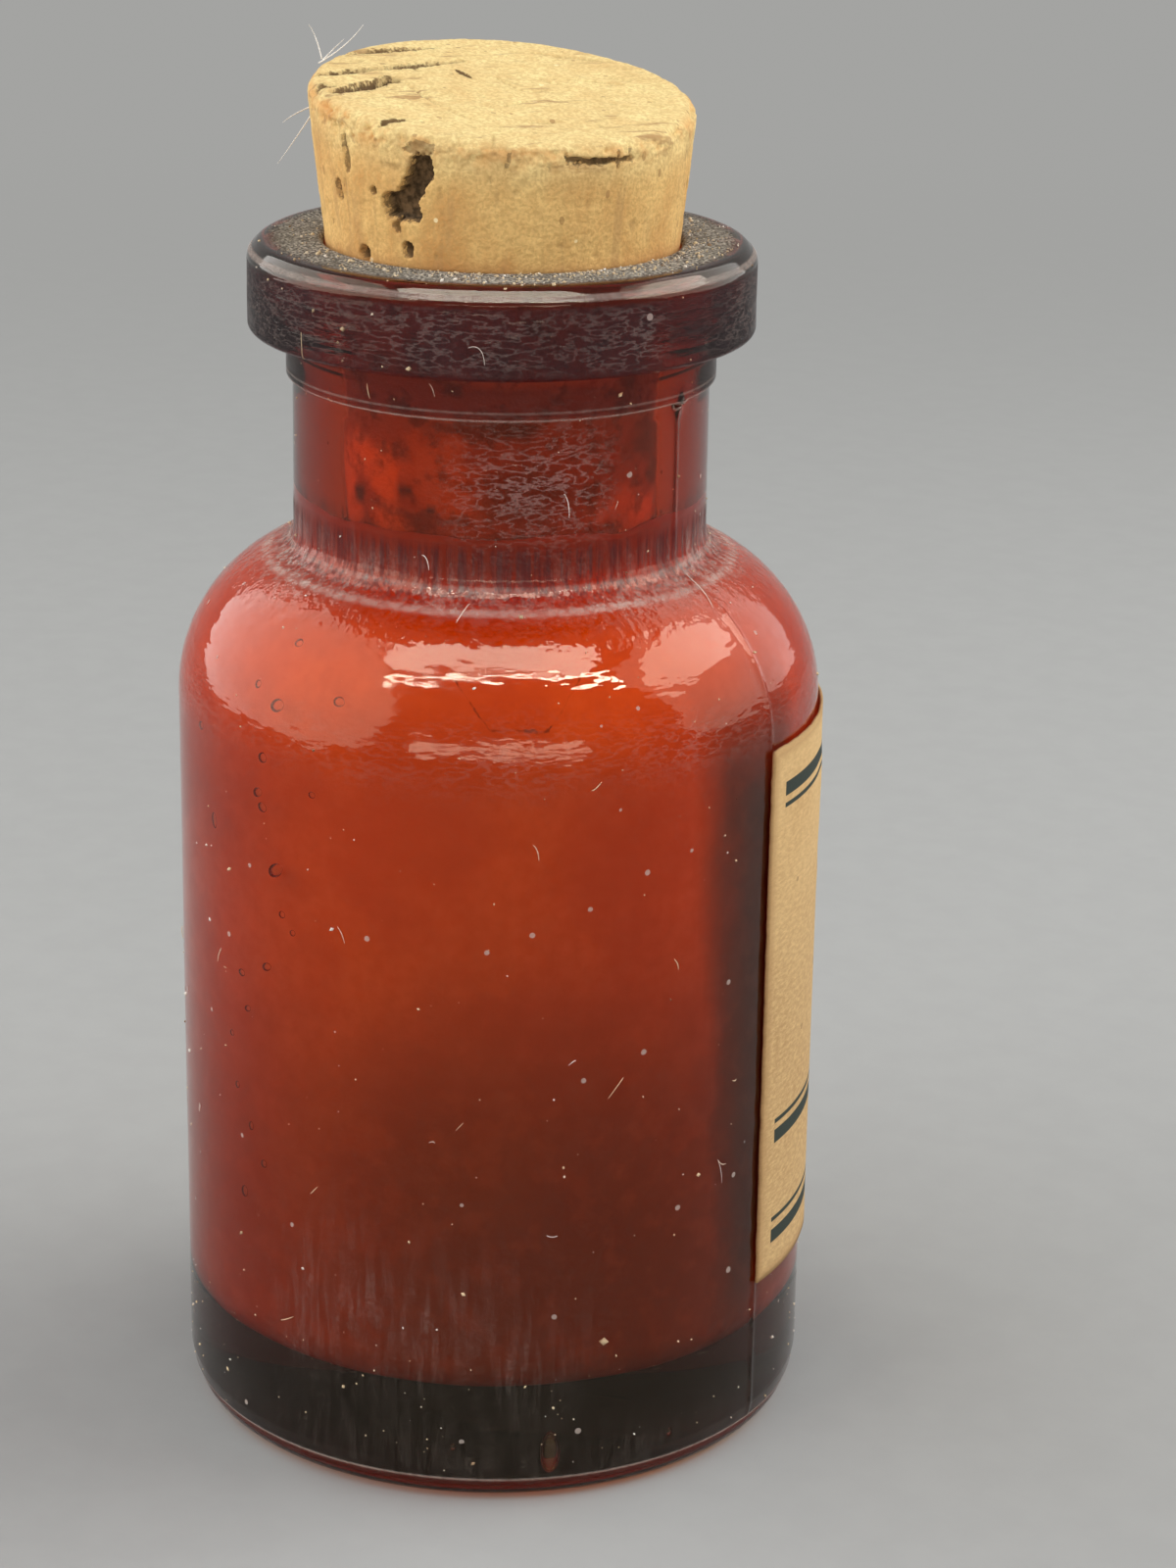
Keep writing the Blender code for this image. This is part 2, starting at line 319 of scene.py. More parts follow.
def closed_grid(grid, first, last):
    """A grid that wraps round, closed by a fan to a point at each end: (points, quads, triangles)."""
    rows, columns = grid.shape[:2]
    here = np.arange(columns)
    there = (here + 1) % columns
    start = np.stack((np.full(columns, rows * columns), there, here), axis=1)
    foot = (rows - 1) * columns
    end = np.stack((np.full(columns, rows * columns + 1), foot + here, foot + there), axis=1)
    points = np.concatenate((grid.reshape(-1, 3), [first, last]))
    return points, grid_quads(rows, columns, True), np.concatenate((start, end))


def unit_ball(rows, columns):
    """A closed ball of radius 1 on a grid of latitude a and longitude b: (cos a cos b, cos a sin b, sin a)."""
    latitude = (np.arange(rows)[:, None] + 1) / (rows + 1) * math.pi - math.pi / 2
    longitude = np.arange(columns) * math.tau / columns
    return closed_grid(polar(np.cos(latitude), longitude, np.sin(latitude)), (0, 0, -1), (0, 0, 1))


def repeated(shape, matrices, places):
    """Copies of a shape, each put through its own 3 x 3 matrix and moved to its own place."""
    points, quads, triangles = shape
    placed = np.einsum("nij,pj->npi", matrices, points) + places[:, None]
    shift = (np.arange(len(places)) * len(points))[:, None, None]
    return placed.reshape(-1, 3), (quads + shift).reshape(-1, 4), (triangles + shift).reshape(-1, 3)


def tubes(paths, outward, radii, sides):
    """Closed tubes: a ring carried along each path, round the axes (path x outward) and outward.

    paths and outward are (tube, step, xyz), and radii is (tube, step). Each end closes in a point.
    """
    along = np.gradient(paths, axis=1)
    along /= np.linalg.norm(along, axis=2, keepdims=True)
    side = np.cross(along, outward)
    side /= np.linalg.norm(side, axis=2, keepdims=True)
    up = np.cross(side, along)
    turns = (np.arange(sides) * math.tau / sides)[:, None]
    spokes = side[:, :, None] * np.cos(turns) + up[:, :, None] * np.sin(turns)
    rings = paths[:, :, None] + spokes * radii[:, :, None, None]
    made = [
        closed_grid(ring, 1.2 * path[0] - 0.2 * path[1], 1.2 * path[-1] - 0.2 * path[-2])
        for ring, path in zip(rings, paths)
    ]
    size = len(made[0][0])
    return tuple(
        np.concatenate([part[k] + (size * i if k else 0) for i, part in enumerate(made)]) for k in range(3)
    )


def add_mesh(name, shape, look, body, uv=None, values=None):
    """A smooth piece from arrays (points, quads, triangles), with a UV map and float attributes.

    values are an attribute's numbers for the first points, and the rest of them get 0.
    """
    points, quads, triangles = shape
    corners = np.concatenate((np.ravel(quads), np.ravel(triangles))).astype(np.int32)
    sizes = np.repeat((4, 3), (len(quads), len(triangles))).astype(np.int32)
    mesh = bpy.data.meshes.new(name)
    mesh.vertices.add(len(points))
    mesh.vertices.foreach_set("co", np.asarray(points, np.float32).ravel())
    mesh.loops.add(len(corners))
    mesh.loops.foreach_set("vertex_index", corners)
    mesh.polygons.add(len(sizes))
    mesh.polygons.foreach_set("loop_start", np.concatenate(([0], np.cumsum(sizes)[:-1])).astype(np.int32))
    mesh.polygons.foreach_set("loop_total", sizes)
    mesh.polygons.foreach_set("use_smooth", np.full(len(sizes), True))
    if uv is not None:
        layer = mesh.uv_layers.new(name="UVMap")
        layer.data.foreach_set("uv", np.asarray(uv, np.float32)[corners].ravel())
    for key, value in (values or {}).items():
        layer = mesh.attributes.new(key, "FLOAT", "POINT")
        value = np.pad(np.ravel(value), (0, len(points) - np.size(value)))
        layer.data.foreach_set("value", value.astype(np.float32))
    mesh.update(calc_edges=True)
    if mesh.validate():
        raise RuntimeError(f"{name} has faces that aren't valid")
    mesh.materials.append(look)
    piece = bpy.data.objects.new(name, mesh)
    bpy.context.collection.objects.link(piece)
    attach(piece, body)
    return piece


# Shader nodes

class Value:
    """A socket that arithmetic works on: each operation places a Math node in the socket's tree."""

    def __init__(self, socket):
        self.socket, self.tree = socket, socket.id_data

    def math(self, operation, *others):
        return result(self.tree, "Math", dict(enumerate((self, *others))), operation=operation)

    def __add__(self, other):
        return self.math("ADD", other)

    def __sub__(self, other):
        return self.math("SUBTRACT", other)

    def __rsub__(self, other):
        return result(self.tree, "Math", {0: other, 1: self}, operation="SUBTRACT")

    def __mul__(self, other):
        return self.math("MULTIPLY", other)

    def __truediv__(self, other):
        return self.math("DIVIDE", other)

    def __abs__(self):
        return self.math("ABSOLUTE")

    def least(self, other):
        return self.math("MINIMUM", other)

    def most(self, other):
        return self.math("MAXIMUM", other)


def place(tree, kind, inputs=None, **settings):
    """Adds a shader node, and sets or links its inputs, keyed by name or index."""
    made = tree.nodes.new("ShaderNode" + kind)
    for key, value in settings.items():
        setattr(made, key, value)
    for key, value in (inputs or {}).items():
        if isinstance(value, Value):
            tree.links.new(value.socket, made.inputs[key])
        else:
            made.inputs[key].default_value = value
    return made


def result(tree, kind, inputs=None, output=0, **settings):
    """Adds a shader node, as place does, for what it puts out."""
    return Value(place(tree, kind, inputs, **settings).outputs[output])


def rgba(value):
    """A colour as an input takes it."""
    return value if isinstance(value, Value) else (*value[:3], 1.0)


def blended(factor, first, second, how="MIX"):
    """A colour between two."""
    inputs = {0: factor, 6: rgba(first), 7: rgba(second)}
    return result(factor.tree, "Mix", inputs, 2, data_type="RGBA", blend_type=how)


def painted(base, *coats):
    """A colour with coats over it, each a mask and a colour."""
    for mask, coat in coats:
        base = blended(mask, base, coat)
    return base


def ramp(value, low, high, start=0.0, end=1.0):
    """start below low, end above high, and a smooth step between them."""
    inputs = {0: value, 1: low, 2: high, 3: start, 4: end}
    return result(value.tree, "MapRange", inputs, interpolation_type="SMOOTHSTEP")


def scaled(vector, *scale):
    """A vector stretched along x, y and z."""
    return result(vector.tree, "Mapping", {"Vector": vector, "Scale": scale})


def noise(vector, scale, detail=3.0, roughness=0.55):
    """Noise round 0.5, with scale features to the metre."""
    inputs = {"Vector": vector, "Scale": scale, "Detail": detail, "Roughness": roughness}
    return result(vector.tree, "TexNoise", inputs)


def attribute(tree, name):
    """The float attribute that a piece carries under a name."""
    return result(tree, "Attribute", None, "Fac", attribute_name=name)


def coordinates(vector):
    """The x, y and z of a vector."""
    return [Value(socket) for socket in place(vector.tree, "SeparateXYZ", {0: vector}).outputs]


def effect(name, values, build):
    """A mask from a node group with a named input for each value. The group is made once, and build fills it."""
    group = bpy.data.node_groups.get(name)
    if not group:
        group = bpy.data.node_groups.new(name, "ShaderNodeTree")
        for label in values:
            kind = "Vector" if label in ("Vector", "Start", "Turn") else "Float"
            group.interface.new_socket(name=label, in_out="INPUT", socket_type="NodeSocket" + kind)
        group.interface.new_socket(name="Mask", in_out="OUTPUT", socket_type="NodeSocketFloat")
        given, kept = group.nodes.new("NodeGroupInput"), group.nodes.new("NodeGroupOutput")
        mask = build({label: Value(given.outputs[label]) for label in values})
        group.links.new(mask.socket, kept.inputs[0])
    tree = next(value.tree for value in values.values() if isinstance(value, Value))
    return result(tree, "Group", values, node_tree=group)


def mottle(vector, scale, low, high, detail=4.0):
    """Patches: a mask from noise that rises from 0 to 1 between two of its values."""
    def build(given):
        return ramp(noise(given["Vector"], given["Scale"], given["Detail"], 0.6), given["Low"], given["High"])

    values = {"Vector": vector, "Scale": scale, "Detail": detail, "Low": low, "High": high}
    return effect("Mottle", values, build)


def flecks(vector, scale, share, size):
    """Scattered flecks: cells whose random value is below share, and in each a spot of that size."""
    def build(given):
        bent = noise(given["Vector"], 900.0, 2.0)
        cells = place(bent.tree, "TexVoronoi", {"Vector": given["Vector"], "Scale": given["Scale"]}).outputs
        chosen = result(bent.tree, "SeparateColor", {0: Value(cells["Color"])}).math("LESS_THAN", given["Share"])
        return chosen * Value(cells["Distance"]).math("LESS_THAN", given["Size"] * (bent * 1.6 + 0.2))

    return effect("Flecks", {"Vector": vector, "Scale": scale, "Share": share, "Size": size}, build)


def band(value, low, high, edge):
    """A band: 1 between two values, falling to 0 over the width of its edge on both sides."""
    def build(given):
        rise = ramp(given["Value"], given["Low"] - given["Edge"], given["Low"])
        return rise * ramp(given["Value"], given["High"], given["High"] + given["Edge"], 1.0, 0.0)

    return effect("Band", {"Value": value, "Low": low, "High": high, "Edge": edge}, build)


def girdle(height, low, high, edge):
    """A band of height, given in millimetres."""
    return band(height, low * MM, high * MM, edge * MM)


def crack(vector, start, end, width):
    """A crack in a level face, from start to end in mm: the mask of the painted shade inside it, ragged, and thinner
    towards both ends.
    """
    def build(given):
        uneven = noise(given["Vector"], 1500.0, 3.0, 0.7)
        settings = {"Vector": given["Vector"], "Location": given["Start"], "Rotation": given["Turn"]}
        along, across, _ = coordinates(result(uneven.tree, "Mapping", settings, vector_type="TEXTURE"))
        part = along / given["Length"]
        reach = (part * (1.0 - part) * 3.0 + 0.35) * given["Width"] * (uneven * 2.4 - 0.5)
        inside = ramp(part, -0.02, 0.02) * ramp(part, 0.98, 1.02, 1.0, 0.0)
        return ramp(abs(across) / reach, 0.55, 1.0, 1.0, 0.0) * inside

    run = np.array(end) - start
    return effect("Crack", {
        "Vector": vector, "Start": (start[0] * MM, start[1] * MM, 0.0), "Turn": (0.0, 0.0, math.atan2(run[1], run[0])),
        "Length": math.hypot(*run) * MM, "Width": width * 2.0 * MM,
    }, build)


def new_material(name, coordinate="Object"):
    """A material with an empty tree: (material, tree, texture coordinate)."""
    made = bpy.data.materials.new(name)
    made.use_nodes = True
    made.node_tree.nodes.clear()
    return made, made.node_tree, result(made.node_tree, "TexCoord", None, coordinate)


def principled(tree, inputs, height=None):
    """The Principled shader, with a bump from a height in metres."""
    if height is not None:
        inputs = {**inputs, "Normal": result(tree, "Bump", {"Height": height, "Distance": 1.0})}
    return result(tree, "BsdfPrincipled", inputs)


def matt(tree, base, roughness, level, height=None):
    """A rough surface of a colour, straight to the output."""
    inputs = {"Base Color": base, "Roughness": roughness, "Specular IOR Level": level}
    place(tree, "OutputMaterial", {"Surface": principled(tree, inputs, height)})


def glass_material(s):
    """Dark amber glass: rippled by its mould, with a dull haze in places.

    Glass hides a powder or a cork from lamps, so shadow rays and light bounced inside pass straight through.
    """
    made, tree, where = new_material("amber_glass")
    height = coordinates(where)[2]
    bumps = noise(where, 260.0, 2.0) * 7e-6
    # Each kind of ripple: its stretch, fineness, height in metres, and where it lies
    for stretch, scale, tall, mask in (
        ((0.16, 0.16, 2.2), 900.0, 7e-5, girdle(height, 57.8, 61.2, 0.4)),
        ((0.55, 0.55, 1.3), 2500.0, 4e-4, attribute(tree, "wrinkled")),
        ((0.45, 0.45, 1.4), 950.0, 6e-5, girdle(height, 39.5, 45.5, 2.0)),
        ((1.0, 1.0, 0.10), 1700.0, 8e-5, girdle(height, 45.0, 48.2, 0.8)),
        ((1.0, 1.0, 0.12), 700.0, 3e-6, 1.0),
    ):
        bumps = noise(scaled(where, *stretch), scale, 2.0) * mask * tall + bumps
    shader = principled(tree, {
        "Base Color": (1.0, 1.0, 1.0, 1.0), "Roughness": ramp(mottle(where, 120.0, 0.35, 0.75), 0.0, 1.0, 0.03, 0.11),
        "IOR": s.ior, "Metallic": 0.0, "Transmission Weight": 1.0, "Specular Tint": rgba(s.sheen),
    }, bumps)
    path = place(tree, "LightPath").outputs
    either = Value(path["Is Shadow Ray"]).most(Value(path["Is Diffuse Ray"]))
    passed = result(tree, "BsdfTransparent", {"Color": (0.92, 0.92, 0.92, 1.0)})
    absorbed = result(tree, "VolumeAbsorption", {"Color": rgba(s.clear), "Density": s.density})
    mixed = result(tree, "MixShader", {0: either, 1: shader, 2: passed})
    place(tree, "OutputMaterial", {"Surface": mixed, "Volume": absorbed})
    return made


def bubble_material(s):
    """The skin of an air bubble in the glass: its refractive index is that of air seen from glass."""
    made, tree, where = new_material("air_bubble")
    rough = ramp(mottle(where, 900.0, 0.3, 0.8), 0.0, 1.0, 0.0, 0.06)
    place(tree, "OutputMaterial", {"Surface": principled(tree, {
        "Base Color": (1.0, 1.0, 1.0, 1.0), "Roughness": rough, "Metallic": 0.0, "IOR": 1 / s.ior,
        "Transmission Weight": 1.0,
    })})
    return made


def powder_material(s):
    """Fine caked powder, mottled, darkened by painted shade, and with a crack near its top drawn as a thin line of
    painted shade.
    """
    made, tree, where = new_material("powder")
    fine = noise(where, 1400.0, 4.0)
    base = blended(mottle(where, 90.0, 0.35, 0.65), s.loose, s.caked)
    base = blended(ramp(fine, 0.35, 0.7, 0.0, 0.3), base, s.caked)
    # Painted shade: this dark mottled colour darkens the powder towards its foot, on two sides, beside the label's
    # edge and where it clings to the glass
    wet = blended(mottle(where, 550.0, 0.45, 0.65), (0.09, 0.038, 0.018), (0.13, 0.055, 0.022))
    base = blended(attribute(tree, "painted_shade"), base, wet)
    x, y, z = coordinates(where)
    # Painted shade: a thin dark line along the edge of a broken clump near the powder's top
    off = (y.math("ARCTAN2", x) - math.radians(129)) * (1 / math.radians(13))
    line = (abs(off) - 0.42).most(0.0) * (3.6 * MM) + 41.1 * MM
    away = noise(where, 900.0) * (0.5 * MM) + z - line
    shaded_split = ramp(abs(away), 0.02 * MM, 0.09 * MM, 0.6, 0.0) * ramp(abs(off), 0.9, 1.15, 1.0, 0.0)
    shaded_split = shaded_split * ramp(noise(where, 1100.0), 0.42, 0.58, 0.1, 1.0)
    matt(tree, blended(shaded_split, base, (0.05, 0.02, 0.01)), 0.95, 0.2, fine * 2e-5)
    return made


def cork_material(s):
    """Natural cork: pale and dark grain, flecks, painted shade inside its pits, cracks and pores, a rim worn orange,
    a painted contact shadow with a reddish stain where it meets the lip, and a stained foot in the neck.
    """
    made, tree, where = new_material("cork")
    height = coordinates(where)[2]
    side = attribute(tree, "side")
    grain = noise(scaled(where, 1.0, 1.0, 0.45), 520.0, 5.0, 0.65)
    fine = noise(where, 2600.0, 3.0)
    grit = noise(where, 5200.0, 2.0)
    tone = grain * 0.55 + noise(where, 150.0, 3.0) * 0.45
    base = blended(ramp(tone, 0.38, 0.66) * (side * 0.50 + 0.45), s.light, s.dark)
    base = blended(side, base, (0.96, 0.78, 0.62), "MULTIPLY")
    worn = attribute(tree, "rim") * mottle(where, 800.0, 0.42, 0.60)
    lines = ramp(noise(scaled(where, 1.0, 1.0, 0.05), 1700.0, 2.0), 0.56, 0.72, 0.0, 0.4)
    turned = {"Vector": where, "Rotation": (0.0, 0.0, math.radians(58)), "Scale": (6.0, 1.0, 1.0)}
    dashes = noise(result(tree, "Mapping", turned, vector_type="TEXTURE"), 1900.0, 2.0)
    dashes = ramp(dashes, 0.56, 0.66, 0.0, 0.85) * mottle(where, 210.0, 0.42, 0.60)
    # Painted contact shadow, with a reddish stain, in a band where the cork meets the lip
    stain = ramp(height, GLASS_TOP - 0.4 * MM, GLASS_TOP + 0.9 * MM, 1.0, 0.0)
    below = ramp(height, GLASS_TOP - 1.0 * MM, GLASS_TOP - 0.2 * MM, 1.0, 0.0)
    soaked = attribute(tree, "soaked").most(mottle(where, 800.0, 0.46, 0.66, 5.0) * 0.6)
    # Painted shade inside the cracks in the cork's top
    shaded_split = crack(where, *CRACKS[0][:3])
    for start, end, wide, _ in CRACKS[1:DRAWN_CRACKS]:
        shaded_split = shaded_split.most(crack(where, start, end, wide))
    torn = noise(where, 4200.0, 2.0) * 0.30 + (attribute(tree, "inside") - 0.13)
    # Painted shade inside the pits
    pit_shade = ramp(torn, 0.0, 0.05) * attribute(tree, "deep")
    base = painted(
        base,
        (ramp(fine, 0.5, 0.75, 0.0, 0.45), s.dark),
        (ramp(grit, 0.38, 0.62, 0.50, 0.0), (0.50, 0.30, 0.10)),
        (flecks(scaled(where, 1.0, 1.0, 0.6), 1500.0, 0.14, 0.20) * 0.55, (0.30, 0.15, 0.05)),
        (flecks(where, 1300.0, 0.07, 0.15) * 0.7, (1.0, 0.84, 0.48)),
        (worn * 0.75, (0.66, 0.31, 0.09)),
        (lines * side, (0.42, 0.24, 0.09)),
        (dashes * (1.0 - side), (0.38, 0.21, 0.08)),
        # Painted contact shadow and stain where the cork meets the lip
        (stain * 0.45, (0.42, 0.16, 0.05)),
        (below, blended(1.0 - attribute(tree, "dry"), (0.98, 0.80, 0.42), (0.42, 0.24, 0.10))),
        (below * soaked, (0.07, 0.03, 0.015)),
        # Painted shade inside the cracks
        (shaded_split * ramp(side, 0.02, 0.25, 0.95, 0.0), (0.13, 0.065, 0.015)),
        # Painted shade in the pits, and in the cracks and pores that sunk marks
        (pit_shade.most(attribute(tree, "sunk")), blended(ramp(fine, 0.35, 0.7), s.pit, (0.17, 0.10, 0.045))),
    )
    matt(tree, base, 0.88, 0.25, grit * 3e-5 + (grain * 5e-5 + fine * 3e-5))
    return made


# The printed rules on the label: low and high over its lower edge in mm
RULES = ((26.5, 27.2), (25.88, 26.08), (8.6, 8.8), (7.5, 8.2), (3.0, 3.2), (1.8, 2.5))
# How far their ink bleeds, in mm
RULE_EDGE = 0.05


def label_material(s):
    """Aged paper: fibres and stains, browned edges, double rules printed along its borders, and painted shade towards
    its foot.
    """
    made, tree, uv = new_material("label_paper", "UV")
    tall = LABEL_HIGH - LABEL_LOW
    flat = scaled(uv, s.width, tall, 1.0)
    across, up, _ = coordinates(flat)
    fibre = noise(scaled(flat, 1.0, 2.6, 1.0), 1900.0, 5.0, 0.7)
    near = across.least(s.width - across).least(up.least(tall - up))
    edge = ramp(fibre * (-0.7 * MM) + near, -0.4 * MM, 0.5 * MM, 1.0, 0.0)
    rules = girdle(up, *RULES[0], RULE_EDGE)
    for low, high in RULES[1:]:
        rules = rules.most(girdle(up, low, high, RULE_EDGE))
    worn = ramp(fibre, 0.66, 0.8, 1.0, 0.35) * band(across, s.inset, s.width - s.inset, RULE_EDGE * MM)
    matt(tree, painted(
        s.paper,
        (mottle(flat, 110.0, 0.36, 0.66) * 0.75, s.stain),
        # Painted shade: the paper darkens towards its foot
        (ramp(up / tall, 0.45, 0.95, 0.42, 0.0), (0.30, 0.17, 0.07)),
        (ramp(fibre, 0.35, 0.75, 0.0, 0.55), (0.82, 0.56, 0.26)),
        (flecks(flat, 620.0, 0.10, 0.16) * 0.5, (0.20, 0.12, 0.05)),
        (edge * 0.6, (0.33, 0.17, 0.06)),
        (rules * worn, s.ink),
    ), 0.82, 0.3, fibre * 2.5e-5)
    return made


# Lines of pale film along edges of the glass: partly dust that keeps to the edges, partly painted highlights where the
# heel, the collar's foot, the neck's fillet and the lip's bevel catch the light. Low, high and blur in mm, and how
# thick it lies
DUST_AND_HIGHLIGHT_RINGS = (
    (55.12, 55.24, 0.06, 0.40), (55.55, 55.62, 0.05, 0.16), (1.22, 1.36, 0.07, 0.30), (45.95, 46.0, 0.16, 0.30),
    (46.75, 46.8, 0.20, 0.22), (61.42, 61.56, 0.12, 0.34),
)


def dust_material(s):
    """A film of dust that lets the glass show through where it is thin, painted highlights along some edges, a painted
    sheen on wrinkled glass, a dark film of painted shade, and soot that covers the lip.
    """
    made, tree, where = new_material("dust_film")
    height = coordinates(where)[2]
    cloud = noise(where, 260.0, 4.0, 0.7)
    streak = noise(scaled(where, 1.0, 1.0, 0.12), 2600.0, 3.0)
    fine = noise(where, 6500.0, 2.0, 0.6)
    patchy = ramp(cloud, 0.34, 0.68, 0.3, 1.0) * ramp(streak, 0.38, 0.62, 0.1, 1.0)
    patchy = patchy * ramp(fine, 0.36, 0.66, 0.3, 1.2)
    grimy = girdle(height, 61.75, 63.0, 0.15)
    film = attribute(tree, "dust") * (grimy * (ramp(cloud, 0.30, 0.55, 0.62, 1.0) - patchy) + patchy)
    # Pale lines along edges: dust, and painted highlights where the edges catch the light
    rings = 0.0
    for low, high, edge, share in DUST_AND_HIGHLIGHT_RINGS:
        rings = (girdle(height, low, high, edge) * share).most(rings)
    film = film + rings * ramp(streak, 0.34, 0.60, 0.55, 1.0)
    # Painted sheen: a pale film on the ridges of the wrinkled glass, standing in for their reflections
    wrinkle = noise(scaled(where, 0.45, 0.45, 1.4), 2400.0, 2.0, 0.5)
    ridge_sheen = (attribute(tree, "wrinkled") * 1.9).least(0.42)
    film = ramp(abs(wrinkle - 0.5), 0.0, 0.07, 1.0, 0.0) * ridge_sheen + film
    film = film.most(flecks(where, 1100.0, 0.05, 0.16) * 0.5)
    # Painted shade: a dark film, as strokes at the neck's foot and as a dull coat on the lip's side and the collar
    strokes = noise(scaled(where, 1.0, 1.0, 0.05), 4000.0, 3.0)
    dull = girdle(height, 46.6, 48.4, 0.8) * ramp(strokes, 0.40, 0.64, 0.0, 0.5)
    dull = dull.most(girdle(height, 57.7, 60.9, 0.3) * ramp(cloud, 0.3, 0.7, 0.3, 0.6))
    dull = dull.most(girdle(height, 55.4, 57.2, 0.15) * 0.3)
    alpha = (film + dull).least(1.0)
    base = blended(ramp(fine, 0.3, 0.7), s.tone, (0.62, 0.47, 0.40))
    # The painted sheen's purple tint
    base = blended(ridge_sheen * 2.0, base, (0.52, 0.25, 0.24))
    # The dark colour of the painted shade film
    base = blended(dull / (alpha + 0.001), base, (0.035, 0.024, 0.026))
    soot = blended(ramp(fine, 0.40, 0.68), (0.08, 0.072, 0.060), (0.66, 0.62, 0.53))
    soot = blended(ramp(cloud, 0.38, 0.66, 0.0, 0.6), soot, (0.10, 0.08, 0.06))
    place(tree, "OutputMaterial", {"Surface": principled(tree, {
        "Base Color": blended(grimy, base, soot), "Roughness": 1.0, "Specular IOR Level": 0.1, "Alpha": alpha,
    })})
    return made


def speck_material():
    """Grit, lint and fibres: each grain takes its own tone."""
    made, tree, where = new_material("dust_specks")
    tone = attribute(tree, "tone")
    base = blended(ramp(tone, 0.0, 0.35), (0.16, 0.07, 0.03), (0.72, 0.56, 0.34))
    base = blended(ramp(tone, 0.6, 1.0), base, (0.86, 0.82, 0.76))
    matt(tree, blended(ramp(noise(where, 5000.0, 2.0), 0.3, 0.8, 0.0, 0.3), base, (0.40, 0.28, 0.16)), 0.9, 0.3)
    return made


# The bottle's outlines

def shoulder_corners(wall, start, big, small, neck):
    """Where the straight lines of a shoulder would meet: its arc, then the fillet into the neck.

    The arc of radius big turns by t and the fillet of radius small turns back, where
    (big + small)*cos(t) = neck + small - wall + big. Each corner is radius*tan(t/2) from the ends of its arc.
    """
    turn = math.acos((neck + small - wall + big) / (big + small))
    half = math.tan(turn / 2)
    top = start + (big + small) * math.sin(turn)
    return [(wall, start + big * half, big), (neck, top - small * half, small)]


# Points across the push-up's curve and across the powder's dish
HOLLOW_STEPS, DISH_STEPS = 26, 34


def outside_outline(s):
    """From the middle of the push-up out and up to the middle of the lip's top."""
    heel = s.body_radius - s.heel_set_in
    ring = heel - s.heel_radius - s.bearing_width
    turns = np.linspace(0, math.pi / 2, HOLLOW_STEPS)
    hollow = np.stack((ring * np.sin(turns), s.push_up * np.cos(turns)), axis=1)
    parting = s.heel_radius + 0.1 * MM
    lip_foot = GLASS_TOP - s.lip_height
    collar_foot = lip_foot - s.collar_height
    corners = [(ring, 0, 0), (heel, 0, s.heel_radius), (heel, parting, 0.04 * MM)]
    corners += [(heel + 0.1 * MM, parting, 0.04 * MM), (s.body_radius, parting + 0.8 * MM, 1.0 * MM)]
    corners += shoulder_corners(s.body_radius, s.body_height, s.shoulder_radius, s.neck_fillet, s.neck_radius)
    corners += [(s.neck_radius, collar_foot, 0.1 * MM), (s.collar_radius, collar_foot, 0.1 * MM)]
    corners += [(s.collar_radius, lip_foot, 0.4 * MM), (s.lip_radius, lip_foot, 0.35 * MM)]
    corners += [(s.lip_radius, GLASS_TOP - s.bevel_drop, s.lip_edge)]
    corners += [(s.lip_radius - s.bevel_width, GLASS_TOP, s.lip_edge)]
    corners += [((s.lip_radius + s.mouth_radius) / 2, GLASS_TOP, 0)]
    return np.concatenate((hollow[:-1], rounded(corners, 0.5 * MM)))


def inside_outline(s):
    """From the middle of the lip's top down the bore and the wall to the middle of the floor."""
    wall = s.body_radius - s.wall
    shoulder = shoulder_corners(wall, s.body_height, s.shoulder_radius - s.wall, s.throat_fillet, s.throat_radius)
    corners = [((s.lip_radius + s.mouth_radius) / 2, GLASS_TOP, 0), (s.mouth_radius, GLASS_TOP, 0.4 * MM)]
    corners += [(s.throat_radius, GLASS_TOP - s.seat_length, 3 * MM)] + shoulder[::-1]
    corners += [(wall, s.base_thickness, s.floor_corner), (0, s.base_thickness, 0)]
    return rounded(corners, 0.55 * MM)


# Even steps round the glass, and the distances in mm from a mould seam where it has closer ones
RING_STEPS = 216
SEAM_STEPS = (0.08, 0.18, 0.3, 0.5, 0.75)
SEAM_RADIUS = 16.5


def ring_bearings():
    """Bearings for the glass: even steps, and closer ones on both mould seams."""
    fine = np.array(SEAM_STEPS) / SEAM_RADIUS
    even = np.linspace(0, math.tau, RING_STEPS, endpoint=False)
    bearings = np.concatenate((even, fine, -fine, math.pi + fine, math.pi - fine))
    return np.unique(np.round(bearings % math.tau, 6))


def outside_lift(s, points):
    """How far the outside stands out: slow waves drawn upwards by the mould, both seams, and a bead on one."""
    radius = np.hypot(points[..., 0], points[..., 1])
    height = points[..., 2]
    waves = layered_noise(points * (1, 1, 0.4), 8 * MM, 11) * 0.3 * s.waviness
    lip = smooth(height, 57.4 * MM, 57.8 * MM)
    waves += lip * lattice_noise(points * (1, 1, 2.5), 4 * MM, 29) * 0.02 * MM
    seamed = smooth(height, 1.2 * MM, 1.5 * MM) * (1 - smooth(height, 55.1 * MM, 55.4 * MM))
    ridge = np.where(radius > 5 * MM, hump(points[..., 1], 0, 0.17 * MM), 0) * seamed * s.seam_height
    bead = hump(points[..., 1], 0, 0.45 * MM) * hump(height, 55.0 * MM, 0.4 * MM) * (points[..., 0] < 0)
    return waves * smooth(height, 0, 1 * MM) + ridge + bead * 0.20 * MM


def inside_lift(s, points):
    """How far the inside stands in: waves that fade out at the cork's seat."""
    waves = layered_noise(points * (1, 1, 0.5), 7 * MM, 23) * s.waviness
    return waves * (1 - smooth(points[..., 2], 49 * MM, 52 * MM))


